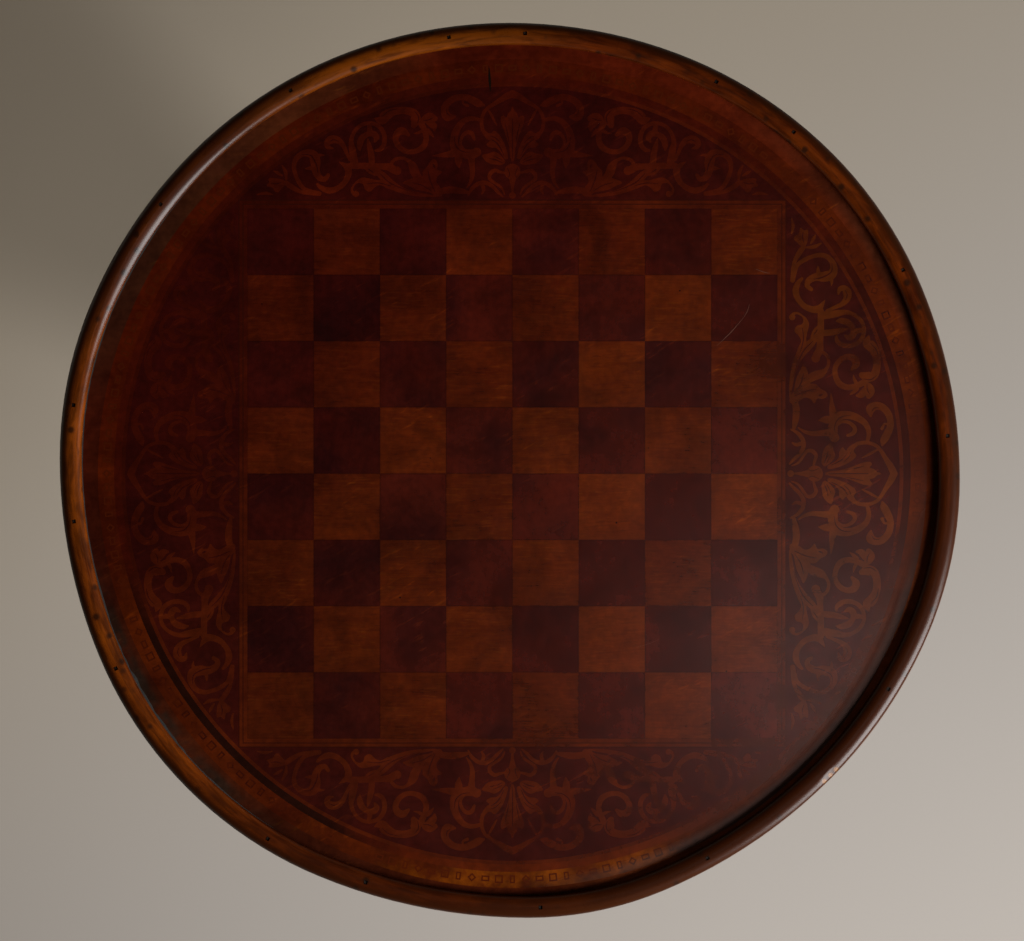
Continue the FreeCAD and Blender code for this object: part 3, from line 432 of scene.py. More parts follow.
# ---------------------------------------------------------------- scroll ornament of half a lunette
# Millimetres: along the chord from the lunette's centreline, outwards from the chord, and the width there.
SCROLLS = (
    # canopy over the palmette, its strap, and the scroll beside it with its tendril
    ((0, 73.6, 5), (5, 71.2, 4.4), (10, 68, 3.2), (15, 65, 2.6), (18.8, 61.6, 2.4), (20.7, 57, 2.4), (21, 53, 2.6),
     (20.3, 48.5, 2.6)),
    ((16.8, 63.2, 1.2), (13.6, 57.5, 1.8), (10.8, 52, 0.9)),
    ((19.4, 65.6, 1.6), (22.6, 66.6, 5), (27, 69, 5.2), (33, 71.2, 4.5), (40, 70, 4.6), (45, 65.8, 4.9),
     (46, 61, 5.4), (43.6, 57.6, 6.4), (39, 57.8, 1.6)),
    ((33.4, 70, 2), (33.6, 67, 1.5), (30.6, 65.4, 2.2)),
    # middle scroll with its curl, thorn and stem to the chord
    ((21.5, 55.3, 2.4), (28, 56.5, 3.2), (34, 54, 4), (38.2, 48, 4.9), (39.8, 41, 5.6), (38.2, 35, 6.6),
     (33, 32.4, 6.4), (28, 31.8, 7), (24.6, 32.8, 5.4)),
    ((32, 33.5, 2.2), (35.2, 38.5, 1.9), (34.3, 43.6, 2.4), (31, 46.8, 2.8), (27.6, 46, 3), (25.9, 42, 1.8)),
    ((38, 33, 6), (44, 31.6, 4.2), (54.5, 30.7, 0.5)),
    ((36.5, 31, 5.5), (36.6, 26.5, 4.6), (36.2, 22.6, 1)),
    ((28, 32, 5.6), (27.6, 25, 4), (27.2, 18, 3.2), (28.6, 12.6, 2.2), (31.2, 8.6, 0.9)),
    # small scrolls beside and under the ball
    ((4.6, 18.8, 1.3), (8.4, 19.6, 2), (12.2, 20.6, 2.6), (15.2, 18.2, 2.8), (15.4, 14.8, 2.4), (12.6, 12.4, 2),
     (9, 10, 1.8), (6.6, 7.4, 1.5), (5.4, 4.2, 0.9)),
    ((30, 3.6, 1.2), (27.6, 8, 2.4), (23, 11.6, 3), (18, 12, 3), (13.6, 9.6, 2.6), (10, 5.8, 2.2), (6.6, 2.6, 1.2)),
    ((20.6, 11, 2.6), (19.6, 7.4, 2.4), (20.8, 4.6, 1.2)),
    ((0, 14.4, 4.6), (0, 10.5, 2.6), (0, 6, 1.4)),
    # stem along the chord and the acanthus that springs from it
    ((30, 5.4, 2), (36, 6.6, 4.2), (43, 7.2, 4.8), (50, 6, 4)),
    ((52, 2.8, 0.9), (60, 3.6, 2.4), (69, 5, 3.2), (77, 7.8, 4.6), (84, 12, 6.6), (88.4, 17, 5.4), (94, 21.4, 3.6),
     (99, 24, 2.4)),
    ((92.6, 17.4, 1.2), (97, 19.4, 1.9), (101, 23, 1.2)),
    ((107.4, 11, 1.3), (109, 8, 1.6), (108.4, 5.2, 2.2), (106, 4.2, 3.4)),
    # bar with its curled end, and the hook over it
    ((110.5, 23.8, 4.2), (100, 23.8, 4.4), (90, 23.4, 4.2), (84, 23, 5.2), (80.6, 21.2, 5.4), (77.8, 20.2, 4.4)),
    ((82.6, 24.8, 2.4), (80, 28, 2.4), (75.2, 29.2, 2.2), (70.8, 27.4, 2.6), (67.8, 23.6, 5.8), (65.8, 18.4, 6),
     (62.6, 14, 4.4), (58.5, 9.5, 3)),
    # ring with the bud that stands in it
    ((95.4, 25, 4.2), (96, 32, 4.2), (97.4, 38, 3.2), (98.4, 42.4, 0.9)),
    ((103.6, 34.6, 1.4), (103.8, 38, 4), (102.2, 42.8, 4.4), (98.6, 45.6, 3.6), (94.8, 46, 4.4), (92.4, 43.4, 4.2),
     (93.6, 40.4, 1.6)),
    ((96.8, 46, 4), (97, 50, 3.2), (98, 53.4, 2.4)),
    ((107.4, 26, 5.4), (108.6, 34, 4.8), (109.6, 41, 3.2), (107.2, 47.6, 2.6), (102.6, 52, 2.6), (96.4, 53.2, 2.8),
     (90.2, 50.6, 3), (87, 44.6, 3.2), (87.4, 38.4, 3.2), (90, 35, 3), (93, 34.4, 1.8)),
    # large arc, its leafy end and the scroll that returns under it
    ((93.4, 56.4, 1.2), (89, 55.4, 6.6), (85.6, 58.8, 7.2), (79.5, 61.6, 5.4), (72, 61.8, 5.2), (66.6, 59.6, 6),
     (65.8, 55.4, 7), (67, 51.6, 4)),
    ((61.8, 52, 2), (59.6, 56, 4.6), (56, 57.8, 5.4), (52.8, 56.4, 4)),
    ((57, 54.5, 4.6), (53.6, 51.4, 4.8), (53, 48.4, 1.8)),
    ((57.6, 48.5, 2.4), (55.4, 46, 2.4), (53.6, 43.6, 0.6)),
    ((62, 53, 4.2), (59.4, 47.4, 3.8), (58.6, 42, 3.8), (60.8, 36.8, 4.2), (66, 33.9, 3.6), (72, 33.7, 3.4),
     (77, 37, 3.8), (79.4, 42, 4), (78, 46.4, 5), (74.4, 47.8, 5.2), (70.6, 45, 2.2)),
    ((61.4, 48, 2.4), (64, 46.6, 2), (67, 46, 0.5)),
    # outer ring with the leaf inside it, the curl above and the bud at the tip
    ((117.8, 26.6, 0.5), (114.6, 24.6, 3), (111.8, 22, 5), (111.6, 17.6, 4.4), (114, 12.4, 3.8), (119, 8.2, 3.8),
     (124.4, 6.8, 4.4), (129.4, 8.4, 3.4), (132.4, 11, 2)),
    ((125.2, 17.4, 2.6), (127.6, 14.6, 3.4), (131.2, 15.8, 4.4), (133.6, 20.6, 5.4), (133.8, 26.6, 7),
     (135.6, 31.4, 6.6), (141, 32.6, 4.6), (146.2, 29.6, 3.6), (148.4, 24.6, 3.2), (147.6, 18.6, 2.8), (145, 12.4, 3),
     (141.6, 8, 2.8), (137, 5.6, 4), (131, 4.8, 2.8)),
    ((134, 30, 3.4), (130.6, 31.2, 2.2), (127.8, 31, 0.6)),
    ((135, 22.4, 3.2), (138.4, 22, 2.2), (140.8, 22, 0.6)),
    ((110.6, 28, 2), (112.8, 33, 2.4), (115.2, 38.4, 3.4), (119, 41.6, 5), (123.2, 41.8, 5.8), (125.8, 39.6, 4.4),
     (125.2, 36.8, 3.4), (122, 35.8, 1.2)),
    ((131, 4.4, 2.6), (138, 4.8, 2.4), (144, 6, 2.6), (149.6, 9, 3.6), (154, 12.2, 3.2)),
    ((153.6, 14.4, 1.4), (154.2, 19.6, 2.6), (156.4, 24, 1)),
    ((156.4, 17, 1.2), (159.6, 19, 2.2), (162, 20.2, 0.8)),
    ((163, 4, 0.8), (168, 5, 2.2), (173.4, 4, 0.8)),
)
# Leaves, as closed outlines: half the middle leaf, the two side leaves, the acanthus and the far bud.
LEAVES = (
    ((0, 27.4), (1.5, 30), (2.1, 36), (3.6, 42), (5.8, 48), (7.6, 53), (8, 57.2), (6.2, 58.6), (4.2, 57),
     (3, 60), (1.2, 62), (0, 64), (-0.6, 45)),
    ((3, 29.5), (4.4, 36), (7.2, 42.5), (10, 46.4), (12.4, 48), (15, 46.3), (17.4, 47.2), (20.6, 50.6), (20.6, 46.8),
     (17.8, 42.6), (15.6, 41), (17.8, 38.6), (15, 36.4), (11, 36), (8, 33.2), (5.2, 28.6)),
    ((4.8, 26.6), (8, 31), (12, 33.6), (16.2, 32.4), (20.6, 31.2), (19.2, 28.2), (16, 25.6), (11, 24.6), (7.4, 24.4)),
    ((49, 2.6), (47.4, 5), (49.4, 9.4), (51.6, 12.8), (50.8, 16.6), (47.6, 19.6), (51, 21.4), (50.8, 25.2),
     (52.6, 28.2), (55.6, 27.4), (57.8, 23.6), (60.8, 20.4), (61.4, 16.4), (66, 15.6), (70.6, 14.4), (74.6, 12),
     (70.8, 10.2), (66.6, 8), (62, 6.6), (56, 5.4), (53, 3.2)),
    ((84, 8), (89.6, 10.4), (93.4, 9), (96.6, 6), (100.2, 7.4), (101.4, 11), (104.4, 12), (107.8, 10.6), (106, 13.6),
     (102, 15.8), (97, 15), (92.4, 14), (86, 13.4)),
    ((154, 11.4), (155.6, 14), (160.6, 15.2), (165.6, 15), (165.2, 12.4), (167, 10), (163, 8.8), (161.6, 6.4),
     (159.4, 5.4), (157.2, 7.6)),
)
BALLS = ((0, 19.8, 5.5), (0, 3.4, 2.3), (24.4, 33.2, 3.2), (106.2, 4.4, 2.1), (78.4, 20.4, 3))
# Engraved lines, filled dark.
VEINS = (
    ((0, 29, 0.3), (0, 40, 0.8), (0, 56, 0.5)),
    ((2.4, 40, 0.3), (3.6, 47, 0.7), (5, 53, 0.3)),
    ((14.4, 42, 0.4), (10.8, 39.6, 1), (8.2, 36, 0.9), (5.8, 31, 0.4)),
    ((15, 44.4, 0.3), (11.4, 43, 0.6), (8, 39.6, 0.3)),
    ((15.4, 28.8, 0.4), (11, 27.8, 0.9), (7, 26, 0.4)),
    ((13, 30.6, 0.3), (9.4, 29, 0.6), (7, 27.6, 0.3)),
    ((3.6, 22.6, 0.3), (1.8, 18, 0.6), (3, 15.4, 0.3)),
    ((54, 25, 0.6), (53.2, 23.6, 1.4), (53, 22.4, 0.5)),
    ((57.4, 21, 0.4), (56, 14, 0.9), (52.6, 6, 0.4)),
    ((68, 12.2, 0.4), (61, 10.2, 0.8), (55, 6.4, 0.4)),
    ((90, 18.6, 0.4), (84, 12.6, 0.9), (76, 8.6, 0.7), (66, 5.2, 0.3)),
    ((99, 11.4, 0.3), (91, 12, 0.8), (83, 10, 0.4)),
    ((88.6, 57.6, 0.3), (84, 61.6, 0.7), (78, 63, 0.3)),
    ((66.6, 61.6, 0.3), (63.8, 57.6, 0.8), (64.4, 53, 0.4)),
    ((60.6, 55.2, 0.3), (57, 55.4, 0.8), (54, 57, 0.3)),
    ((132, 19, 0.4), (133.4, 25, 0.9), (137, 31, 0.8), (143, 31.4, 0.4)),
    ((157, 12.4, 0.4), (160.4, 11.4, 0.8), (164, 11.8, 0.4)),
    ((118, 40.6, 0.3), (121.4, 41.8, 0.7), (124.4, 40.4, 0.3)),
    ((44.6, 63.6, 0.3), (44.4, 60, 0.8), (42, 58.4, 0.3)),
    ((39.4, 44, 0.3), (38.6, 38, 0.8), (34.6, 34, 0.7), (29, 33, 0.3)),
)


def smooth_rows(rows, steps, closed=False):
    """Rows of numbers along a smooth curve through the given rows."""
    count = len(rows)
    made = []
    for number in range(count if closed else count - 1):
        if closed:
            four = [rows[(number + offset) % count] for offset in (-1, 0, 1, 2)]
        else:
            four = [rows[min(max(number + offset, 0), count - 1)] for offset in (-1, 0, 1, 2)]
        for step in range(steps):
            t = step / steps
            made.append(tuple(
                0.5 * (2 * b + (c - a) * t + (2 * a - 5 * b + 4 * c - d) * t ** 2 + (3 * b - a - 3 * c + d) * t ** 3)
                for a, b, c, d in zip(*four)
            ))
    if not closed:
        made.append(tuple(rows[-1]))
    return made


def disc(x, y, radius, sides=14):
    return [(x + radius * math.cos(math.tau * n / sides), y + radius * math.sin(math.tau * n / sides))
            for n in range(sides)]


def ribbon(rows, steps=5):
    """Flat outlines that together cover a band of changing width with round ends."""
    rows = smooth_rows(rows, steps)
    edges = []
    for number, (x, y, width) in enumerate(rows):
        before, after = rows[max(number - 1, 0)], rows[min(number + 1, len(rows) - 1)]
        along = Vector((after[0] - before[0], after[1] - before[1])).normalized()
        half = Vector((-along.y, along.x)) * (width / 2)
        edges.append(((x + half.x, y + half.y), (x - half.x, y - half.y)))
    outlines = [(low[0], low[1], high[1], high[0]) for low, high in zip(edges, edges[1:])]
    outlines += [disc(x, y, width / 2) for x, y, width in (rows[0], rows[-1])]
    return outlines


def facing_up(outline):
    """The outline, anticlockwise."""
    area = sum(a[0] * b[1] - b[0] * a[1] for a, b in zip(outline, [*outline[1:], outline[0]]))
    return list(outline) if area > 0 else list(reversed(outline))


def encloses(outline, x, y):
    inside = False
    for (ax, ay), (bx, by) in zip(outline, [*outline[1:], outline[0]]):
        if (ay > y) != (by > y) and x < (bx - ax) * (y - ay) / (by - ay) + ax:
            inside = not inside
    return inside


class Cover:
    """Flat outlines sorted into square cells, to ask whether any of them lies over a point."""
    cell = 6.0

    def __init__(self, outlines):
        self.cells = {}
        for outline in outlines:
            xs, ys = [x for x, y in outline], [y for x, y in outline]
            for column in range(math.floor(min(xs) / self.cell), math.floor(max(xs) / self.cell) + 1):
                for row in range(math.floor(min(ys) / self.cell), math.floor(max(ys) / self.cell) + 1):
                    self.cells.setdefault((column, row), []).append(outline)

    def over(self, x, y):
        here = (math.floor(x / self.cell), math.floor(y / self.cell))
        return any(encloses(outline, x, y) for outline in self.cells.get(here, ()))


def planar_union(light, dark):
    """Corners and triangles that cover the light outlines where no dark one lies."""
    points, faces = [], []
    for outline in light + dark:
        faces.append(range(len(points), len(points) + len(outline)))
        points += [Vector(point) for point in facing_up(outline)]
    corners, _, triangles, _, _, _ = delaunay_2d_cdt(points, [], faces, 0, 1e-5)
    above, below = Cover(light), Cover(dark)
    kept = []
    for triangle in triangles:
        x, y = sum((corners[corner] for corner in triangle), Vector((0, 0))) / 3
        if above.over(x, y) and not below.over(x, y):
            kept.append(triangle)
    return corners, kept


def inlay_mesh(corners, triangles, low, high):
    """Closed thin plate over flat triangles."""
    bm = bmesh.new()
    used = sorted({corner for triangle in triangles for corner in triangle})
    tops = {corner: bm.verts.new((*corners[corner], high)) for corner in used}
    bases = {corner: bm.verts.new((*corners[corner], low)) for corner in used}
    sides = {}
    for triangle in triangles:
        bm.faces.new([tops[corner] for corner in triangle])
        bm.faces.new([bases[corner] for corner in reversed(triangle)])
        for a, b in zip(triangle, [*triangle[1:], triangle[0]]):
            sides[(a, b)] = (b, a) not in sides
            if (b, a) in sides:
                sides[(b, a)] = False
    for (a, b), is_edge in sides.items():
        if is_edge and (b, a) not in sides:
            bm.faces.new((tops[a], bases[a], bases[b], tops[b]))
    return bm


def lunette_ornament():
    """The whole ornament of a lunette, flat, in metres from the middle of its chord."""
    light = [outline for rows in SCROLLS for outline in ribbon(rows)]
    light += [smooth_rows(rows, 4, closed=True) for rows in LEAVES]
    light += [disc(*ball, sides=24) for ball in BALLS]
    dark = [outline for rows in VEINS for outline in ribbon(rows, 4)]
    light += [[(-x, y) for x, y in outline] for outline in light]
    dark += [[(-x, y) for x, y in outline] for outline in dark]
    corners, triangles = planar_union(light, dark)
    return [corner * MM for corner in corners], triangles


def circle_outline(radius, first=0.0, sweep=360.0, steps=ROUND_STEPS):
    """Points round the inlay's middle."""
    angles = [math.radians(first + sweep * step / steps) for step in range(steps + (sweep < 360))]
    return [(middle.x + radius * math.cos(a), middle.y + radius * math.sin(a)) for a in angles]


# Direction of each lunette, and how its ornament was laid: its reach out from the chord and a shift in mm.
LUNETTES = {"right": (0, 1.0, -0.4), "rear": (90, 0.985, -0.4), "left": (180, 1.0, -0.3), "front": (270, 0.972, -1.3)}


def make_lunettes(ground, light):
    """The four lunettes: dark ground, and light scrolls over it that are each of their own wood."""
    corners, triangles = lunette_ornament()
    for name, (turn, reach, shift) in LUNETTES.items():
        bm = bmesh.new()
        prism(bm, circle_outline(circle_radius, turn - 45, 90, LUNETTE_STEPS), veneer_low_z, surface_z)
        add_piece("ground_" + name, bm, "top", ground, False, ["lunette_" + name])
        spin = Matrix.Rotation(math.radians(turn - 90), 2)
        places = [
            middle + spin @ Vector((corner.x, reach * corner.y + shift * MM + border_half)) for corner in corners
        ]
        bm = inlay_mesh(places, triangles, veneer_low_z + LIFT, surface_z + LIFT)
        add_piece("scrolls_" + name, bm, "top", light[name], False)


def ring_section(inner, outer, low, high):
    """Corners of a flat ring's section between two (x, y) points."""
    return [Vector((*point, z)) for point, z in ((inner, low), (outer, low), (outer, high), (inner, high))]


def make_rings(*materials):
    """Veneer rings outside the lunettes: string, dark ring, ornament band, and the field, which runs under the rim."""
    under_rim = rim_setback + rim_width - 0.4 * MM
    outlines = [circle_outline(radius) for radius in (circle_radius, string_radius, dark_ring_radius, band_radius)]
    outlines.append([edge_point(math.tau * step / ROUND_STEPS, under_rim) for step in range(ROUND_STEPS)])
    names = (("ring_string", "stringing", "circle_string"), ("ring_dark", "dark_veneer", "dark_ring"),
             ("ring_band", "band_veneer", "ornament_band"), ("ring_field", "field_veneer", "outer_field"))
    for (name, slot, node), material, inner, outer in zip(names, materials, outlines, outlines[1:]):
        rings = [ring_section(*points, veneer_low_z, surface_z) for points in zip(inner, outer)]
        add_piece(name, skinned(rings, closed=True), "top", material, False, [node])


def make_band_marks(material):
    """Small open squares, bars and lozenges let into the band: a plain repeating ornament."""
    bm = bmesh.new()
    count, line_width, depth = 188, 0.95 * MM, 0.3 * MM
    radius = dark_ring_radius + 5.0 * MM
    # Half length along the ring, half width across it, and turn, of the four marks that follow each other.
    pattern = ((2.7, 2.7, 0), (1.7, 2.7, 0), (2.1, 2.1, 45), (2.7, 1.9, 0))
    for number in range(count):
        turn = math.tau * number / count
        along, across, lean = pattern[number % len(pattern)]
        centre = middle + Matrix.Rotation(turn, 2) @ Vector((radius, 0))
        spin = Matrix.Rotation(turn + math.radians(lean), 2)
        rings = []
        for x, y in SQUARE:
            inner, outer = (
                centre + spin @ Vector((x * (across * MM - inset), y * (along * MM - inset)))
                for inset in (line_width, 0.0)
            )
            rings.append(ring_section(inner, outer, surface_z - depth, surface_z + LIFT))
        skin_rings(bm, rings, closed=True)
    add_piece("band_marks", bm, "top", material, False)


# ---------------------------------------------------------------- rim
def rim_section(turn):
    """(inset, height) corners of the bead at a turn, worn and moved a little from place to place."""
    degrees = math.degrees(turn)
    low = veneer_low_z
    shoulder = crown_z - rim_crown_rise
    # It stands back furthest from the edge at one side, and is flattened inside at another, in degrees.
    shrunk_side, flat_side = 156, 147
    worn = (0.25 + 0.25 * lathe_noise(turn, 3.0, 4.0)) * MM
    shrunk = (0.35 * spread(degrees, shrunk_side, 30) + 0.25 * lathe_noise(turn, 2.0, 9.0)) * MM
    outer, inner = rim_setback + shrunk, rim_setback + rim_width
    centre, half = (outer + inner) / 2, (inner - outer) / 2
    inner_squareness = BEAD_SQUARENESS - 0.75 * spread(degrees, flat_side, 24)
    corners = [(outer + 0.5 * MM, low), (outer, low + 0.8 * MM), (outer, shoulder)]
    steps = 24
    for step in range(1, steps):
        turn_over = math.pi * step / steps
        c, s = math.cos(turn_over), math.sin(turn_over)
        power = 2 / (BEAD_SQUARENESS if c > 0 else inner_squareness)
        across = math.copysign(abs(c) ** power, c)
        corners.append((centre - half * across, shoulder + (crown_z - worn - shoulder) * s ** power))
    corners += [(inner, shoulder), (inner, low + 1.6 * MM), (inner - 0.3 * MM, low)]
    chip_depth, chip_width = 0.55 * MM, 1.6
    chip = chip_depth * spread(degrees, CHIP_DEGREES, chip_width)
    return [
        (inset, z - chip * max(0.0, 1 - abs(inset - outer - CHIP_INSET) / CHIP_REACH) if z > shoulder else z)
        for inset, z in corners
    ]


def make_rim(material):
    """The bead, with the square holes that its brads were punched into."""
    steps, offset = 1080, 0.37
    rings = []
    for step in range(steps):
        turn = math.tau * (step + offset) / steps
        rings.append([Vector((*edge_point(turn, inset), z)) for inset, z in rim_section(turn)])
    rim = add_piece("rim_bead", skinned(rings, closed=True), "top", material, True, ["rim_moulding"])
    holes = bmesh.new()
    half, depth = 1.3 * MM, 0.4 * MM
    head_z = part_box("rim_brads")[1].z
    for degrees in BRAD_ANGLES:
        turn = math.radians(degrees)
        # The frame's brads stand on the ray at this angle, not where the outline's normal points.
        for _ in range(4):
            x, y = edge_point(turn, rim_setback + rim_width / 2)
            turn += math.radians(degrees) - math.atan2(y, x)
        spin = Matrix.Rotation(math.radians(degrees), 2)
        outline = [Vector((x, y)) + spin @ Vector((half * a, half * b)) for a, b in SQUARE]
        prism(holes, outline, head_z - depth, crown_z + MM)
    cut_with(rim, holes)
    rim.data.polygons.foreach_set("use_smooth", [True] * len(rim.data.polygons))


def make_wax_line(material):
    """Old wax and dust that has gathered in the corner at the foot of the rim."""
    rings = []
    steps, taper = 400, 40
    first, last = math.radians(136), math.radians(240)
    thickest, spill = 212, 22
    inset = rim_setback + rim_width - 0.1 * MM
    base_z = surface_z - 0.1 * MM
    for step in range(steps + 1):
        turn = first + (last - first) * step / steps
        body = min(1.0, step / taper, (steps - step) / taper)
        thick = max(0.05, 0.5 + 1.1 * lathe_noise(turn, 9.0, 2.0) + 0.9 * lathe_noise(turn, 40.0, 5.0))
        width = (0.5 + (0.35 + 0.9 * spread(math.degrees(turn), thickest, spill)) * thick) * body * MM
        height = 0.3 * width + 0.02 * MM
        section = ((inset, base_z), (inset, surface_z + height), (inset + 0.4 * width, surface_z + 0.6 * height),
                   (inset + width, surface_z + 0.02 * MM), (inset + width, base_z))
        rings.append([Vector((*edge_point(turn, place), z)) for place, z in section])
    add_piece("wax_line", skinned(rings), "top", material, True)


def make_shrinkage_gap(material):
    """Dark split at the rear, across the dark ring."""
    bm = bmesh.new()
    turn, depth = math.radians(93.3), 0.4 * MM
    out, across = Vector((math.cos(turn), math.sin(turn))), Vector((-math.sin(turn), math.cos(turn)))
    # Distance from the inlay's middle and half width there, in mm.
    half_widths = ((260, 0.1), (263, 0.5), (267, 0.85), (271, 0.75), (274, 0.45), (277, 0.1))
    left = [middle + out * (r * MM) + across * (w * MM) for r, w in half_widths]
    right = [middle + out * (r * MM) - across * (w * MM) for r, w in reversed(half_widths)]
    prism(bm, left + right, surface_z - depth, surface_z + 2 * LIFT)
    add_piece("shrinkage_gap", bm, "top", material, False)


def make_scratches(material):
    """Fine pale scratches on the polish, as (start, end, width) in mm from the inlay's middle."""
    depth, bend = 0.2 * MM, (0.4, -0.5)
    scratches = (
        ((139, 87), (157, 106), 0.36), ((157, 106), (161, 115), 0.26), ((165, 139), (175, 136), 0.3),
        ((84, -118), (101, -112), 0.16),
    )
    bm = bmesh.new()
    for (ax, ay), (bx, by), width in scratches:
        bent = ((ax + bx) / 2 + bend[0], (ay + by) / 2 + bend[1], width)
        edges = smooth_rows([(ax, ay, 0.4 * width), bent, (bx, by, 0.3 * width)], 6)
        along = Vector((bx - ax, by - ay)).normalized()
        side = Vector((-along.y, along.x))
        upper = [middle + (Vector(row[:2]) + side * row[2] / 2) * MM for row in edges]
        lower = [middle + (Vector(row[:2]) - side * row[2] / 2) * MM for row in reversed(edges)]
        prism(bm, upper + lower, surface_z - depth, surface_z + 2 * LIFT)
    add_piece("polish_scratches", bm, "top", material, False)


# ---------------------------------------------------------------- pillar and legs
def millimetres(rows):
    return [(radius * MM, z * MM) for radius, z in rows]


def pillar_outline():
    """Turned outline from the drum to the top of the tenon, with the frame's own mouldings."""
    drum_z, block_z, tenon_z = (z / MM for z in (plate_high.z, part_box("pivot_block")[0].z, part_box("pillar")[1].z))
    drum_radius, ring_radius, neck_radius, vase_radius, shoulder_radius = 38, 39.5, 26, 43, 30
    collar_radius, shaft_foot, shaft_head, astragal_radius, cap_radius, tenon_radius = 26.5, 22.5, 18, 23, 36, 16
    drum_top = drum_z + 86
    ring_z = drum_top + 2
    neck_z = ring_z + 12
    vase_z = neck_z + 12
    vase_shoulder_z = vase_z + 83
    collar_z = vase_z + 112
    shaft_z = collar_z + 12
    astragal_z = block_z - 46
    cap_z = block_z - 9
    ring_foot, ring_end = (drum_radius - 4, ring_z), (drum_radius - 4, neck_z)
    vase_foot, vase_shoulder = (23, vase_z), (shoulder_radius, vase_shoulder_z)
    collar_foot, collar_end = (shaft_foot - 4, collar_z), (shaft_foot, shaft_z)
    shaft_top, astragal_end = (shaft_head, astragal_z), (shaft_head, astragal_z + 8)
    cap_foot = (cap_radius - 3, cap_z)
    outline = [(drum_radius - 0.6, drum_z), (drum_radius, drum_z + 0.6)]
    outline += [(drum_radius, drum_z + 43), (drum_radius, drum_top - 2), (drum_radius - 1.4, drum_top - 0.5), ring_foot]
    outline += bow(ring_foot, (ring_radius, (ring_z + neck_z) / 2), ring_end, 14)
    outline += bow(ring_end, (neck_radius, neck_z + 4), vase_foot, 8)
    outline += bow(vase_foot, (vase_radius, vase_z + 42.6), vase_shoulder, 30)
    outline += bow(vase_shoulder, (shaft_foot - 1, (vase_shoulder_z + collar_z) / 2), collar_foot, 10)
    outline += bow(collar_foot, (collar_radius, (collar_z + shaft_z) / 2), collar_end, 14)
    outline += bow(collar_end, ((shaft_foot + shaft_head) / 2 + 0.6, (shaft_z + astragal_z) / 2), shaft_top, 12)
    outline += bow(shaft_top, (astragal_radius, astragal_z + 4), astragal_end, 12)
    outline += bow(astragal_end, (shaft_head + 4, astragal_z + 22), cap_foot, 14)
    outline += [(cap_radius - 0.5, cap_z), (cap_radius, cap_z + 0.6), (cap_radius, block_z - 0.3)]
    outline += [(tenon_radius, block_z - 0.3), (tenon_radius, tenon_z)]
    return millimetres(outline)


# Stations along a leg, as the frame's: top edge out and up, under edge out and up, width in mm, squareness.
LEG_STATIONS = (
    (0.00, 1.000, 0.00, 0.980, 24.0, 6.0), (0.11, 1.008, 0.09, 0.984, 26.0, 4.0),
    (0.24, 0.984, 0.185, 0.994, 27.5, 3.2), (0.36, 0.900, 0.27, 1.005, 28.0, 2.8),
    (0.48, 0.768, 0.355, 0.940, 27.0, 2.6), (0.59, 0.608, 0.445, 0.778, 25.5, 2.5),
    (0.69, 0.446, 0.55, 0.558, 23.5, 2.4), (0.78, 0.312, 0.655, 0.356, 22.0, 2.4),
    (0.87, 0.210, 0.755, 0.202, 21.0, 2.3), (0.96, 0.134, 0.855, 0.097, 21.0, 2.3),
    (1.04, 0.085, 0.945, 0.039, 20.0, 2.2),
)
FOOT_RADIUS, FOOT_HEIGHT = 26 * MM, 16 * MM
leg_root = 36 * MM
foot_centre = -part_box("leg_front")[0].y - FOOT_RADIUS
shoulder_z = plate_high.z + 82 * MM


def leg_section(row, points=44):
    """Ring round a leg at one station, in the plane of its top and under edges."""
    top_out, top_up, under_out, under_up, width, squareness = row
    run = foot_centre - leg_root
    top = Vector((leg_root + top_out * run, 0, top_up * shoulder_z))
    under = Vector((leg_root + under_out * run, 0, under_up * plate_high.z))
    centre, upward = (top + under) / 2, (top - under) / 2
    ring = []
    for number in range(points):
        turn = math.tau * (number + 0.5) / points
        c, s = math.cos(turn), math.sin(turn)
        bulge = (abs(c) ** squareness + abs(s) ** squareness) ** (-1 / squareness)
        ring.append(centre + upward * (bulge * s) + Vector((0, bulge * c * width * MM / 2, 0)))
    return ring


def make_legs(material):
    foot = [(FOOT_RADIUS - 5 * MM, 0), (FOOT_RADIUS - 3.4 * MM, 0.7 * MM)]
    toe, brim = foot[-1], (FOOT_RADIUS - 3 * MM, 0.72 * FOOT_HEIGHT)
    foot += bow(toe, (FOOT_RADIUS, 0.4 * FOOT_HEIGHT), brim, 12)
    foot += bow(brim, (0.6 * FOOT_RADIUS, 0.94 * FOOT_HEIGHT), (0.1 * FOOT_RADIUS, FOOT_HEIGHT), 12)
    for name, direction in LEG_DIRECTIONS.items():
        rings = [leg_section(row) for row in smooth_rows(LEG_STATIONS, 14)]
        bm = skinned(rings, turned_rings(foot, 48, Vector((foot_centre, 0, 0))))
        bmesh.ops.rotate(bm, verts=bm.verts, cent=(0, 0, 0), matrix=Matrix.Rotation(math.radians(direction), 3, "Z"))
        add_piece("cabriole_" + name, bm, "base", material, True, [name])


def make_pillar(material):
    bm = skinned(turned_rings(pillar_outline(), 96))
    add_piece("turned_pillar", bm, "base", material, True, ["pillar"])


# ---------------------------------------------------------------- knob and screws
def make_knob(material):
    """Turned brass knob, with the frame's collar, waist and domed end."""
    collar_end, neck_end, tip = (5.6, 2.0), (5.3, 7.0), (1.4, 17.0)
    outline = [(5.2, 0), (5.6, 0.4), collar_end]
    outline += bow(collar_end, (3.5, 4.5), neck_end, 10)
    outline += bow(neck_end, (7.0, 11.0), tip, 18)
    place = Vector(((knob_low.x + knob_high.x) / 2, knob_high.y, (knob_low.z + knob_high.z) / 2))
    bm = skinned(turned_rings(millimetres(outline), 48, place, Vector((0, -1, 0))))
    add_piece("knob", bm, "catch_bolt", material, True, ["catch_knob"])


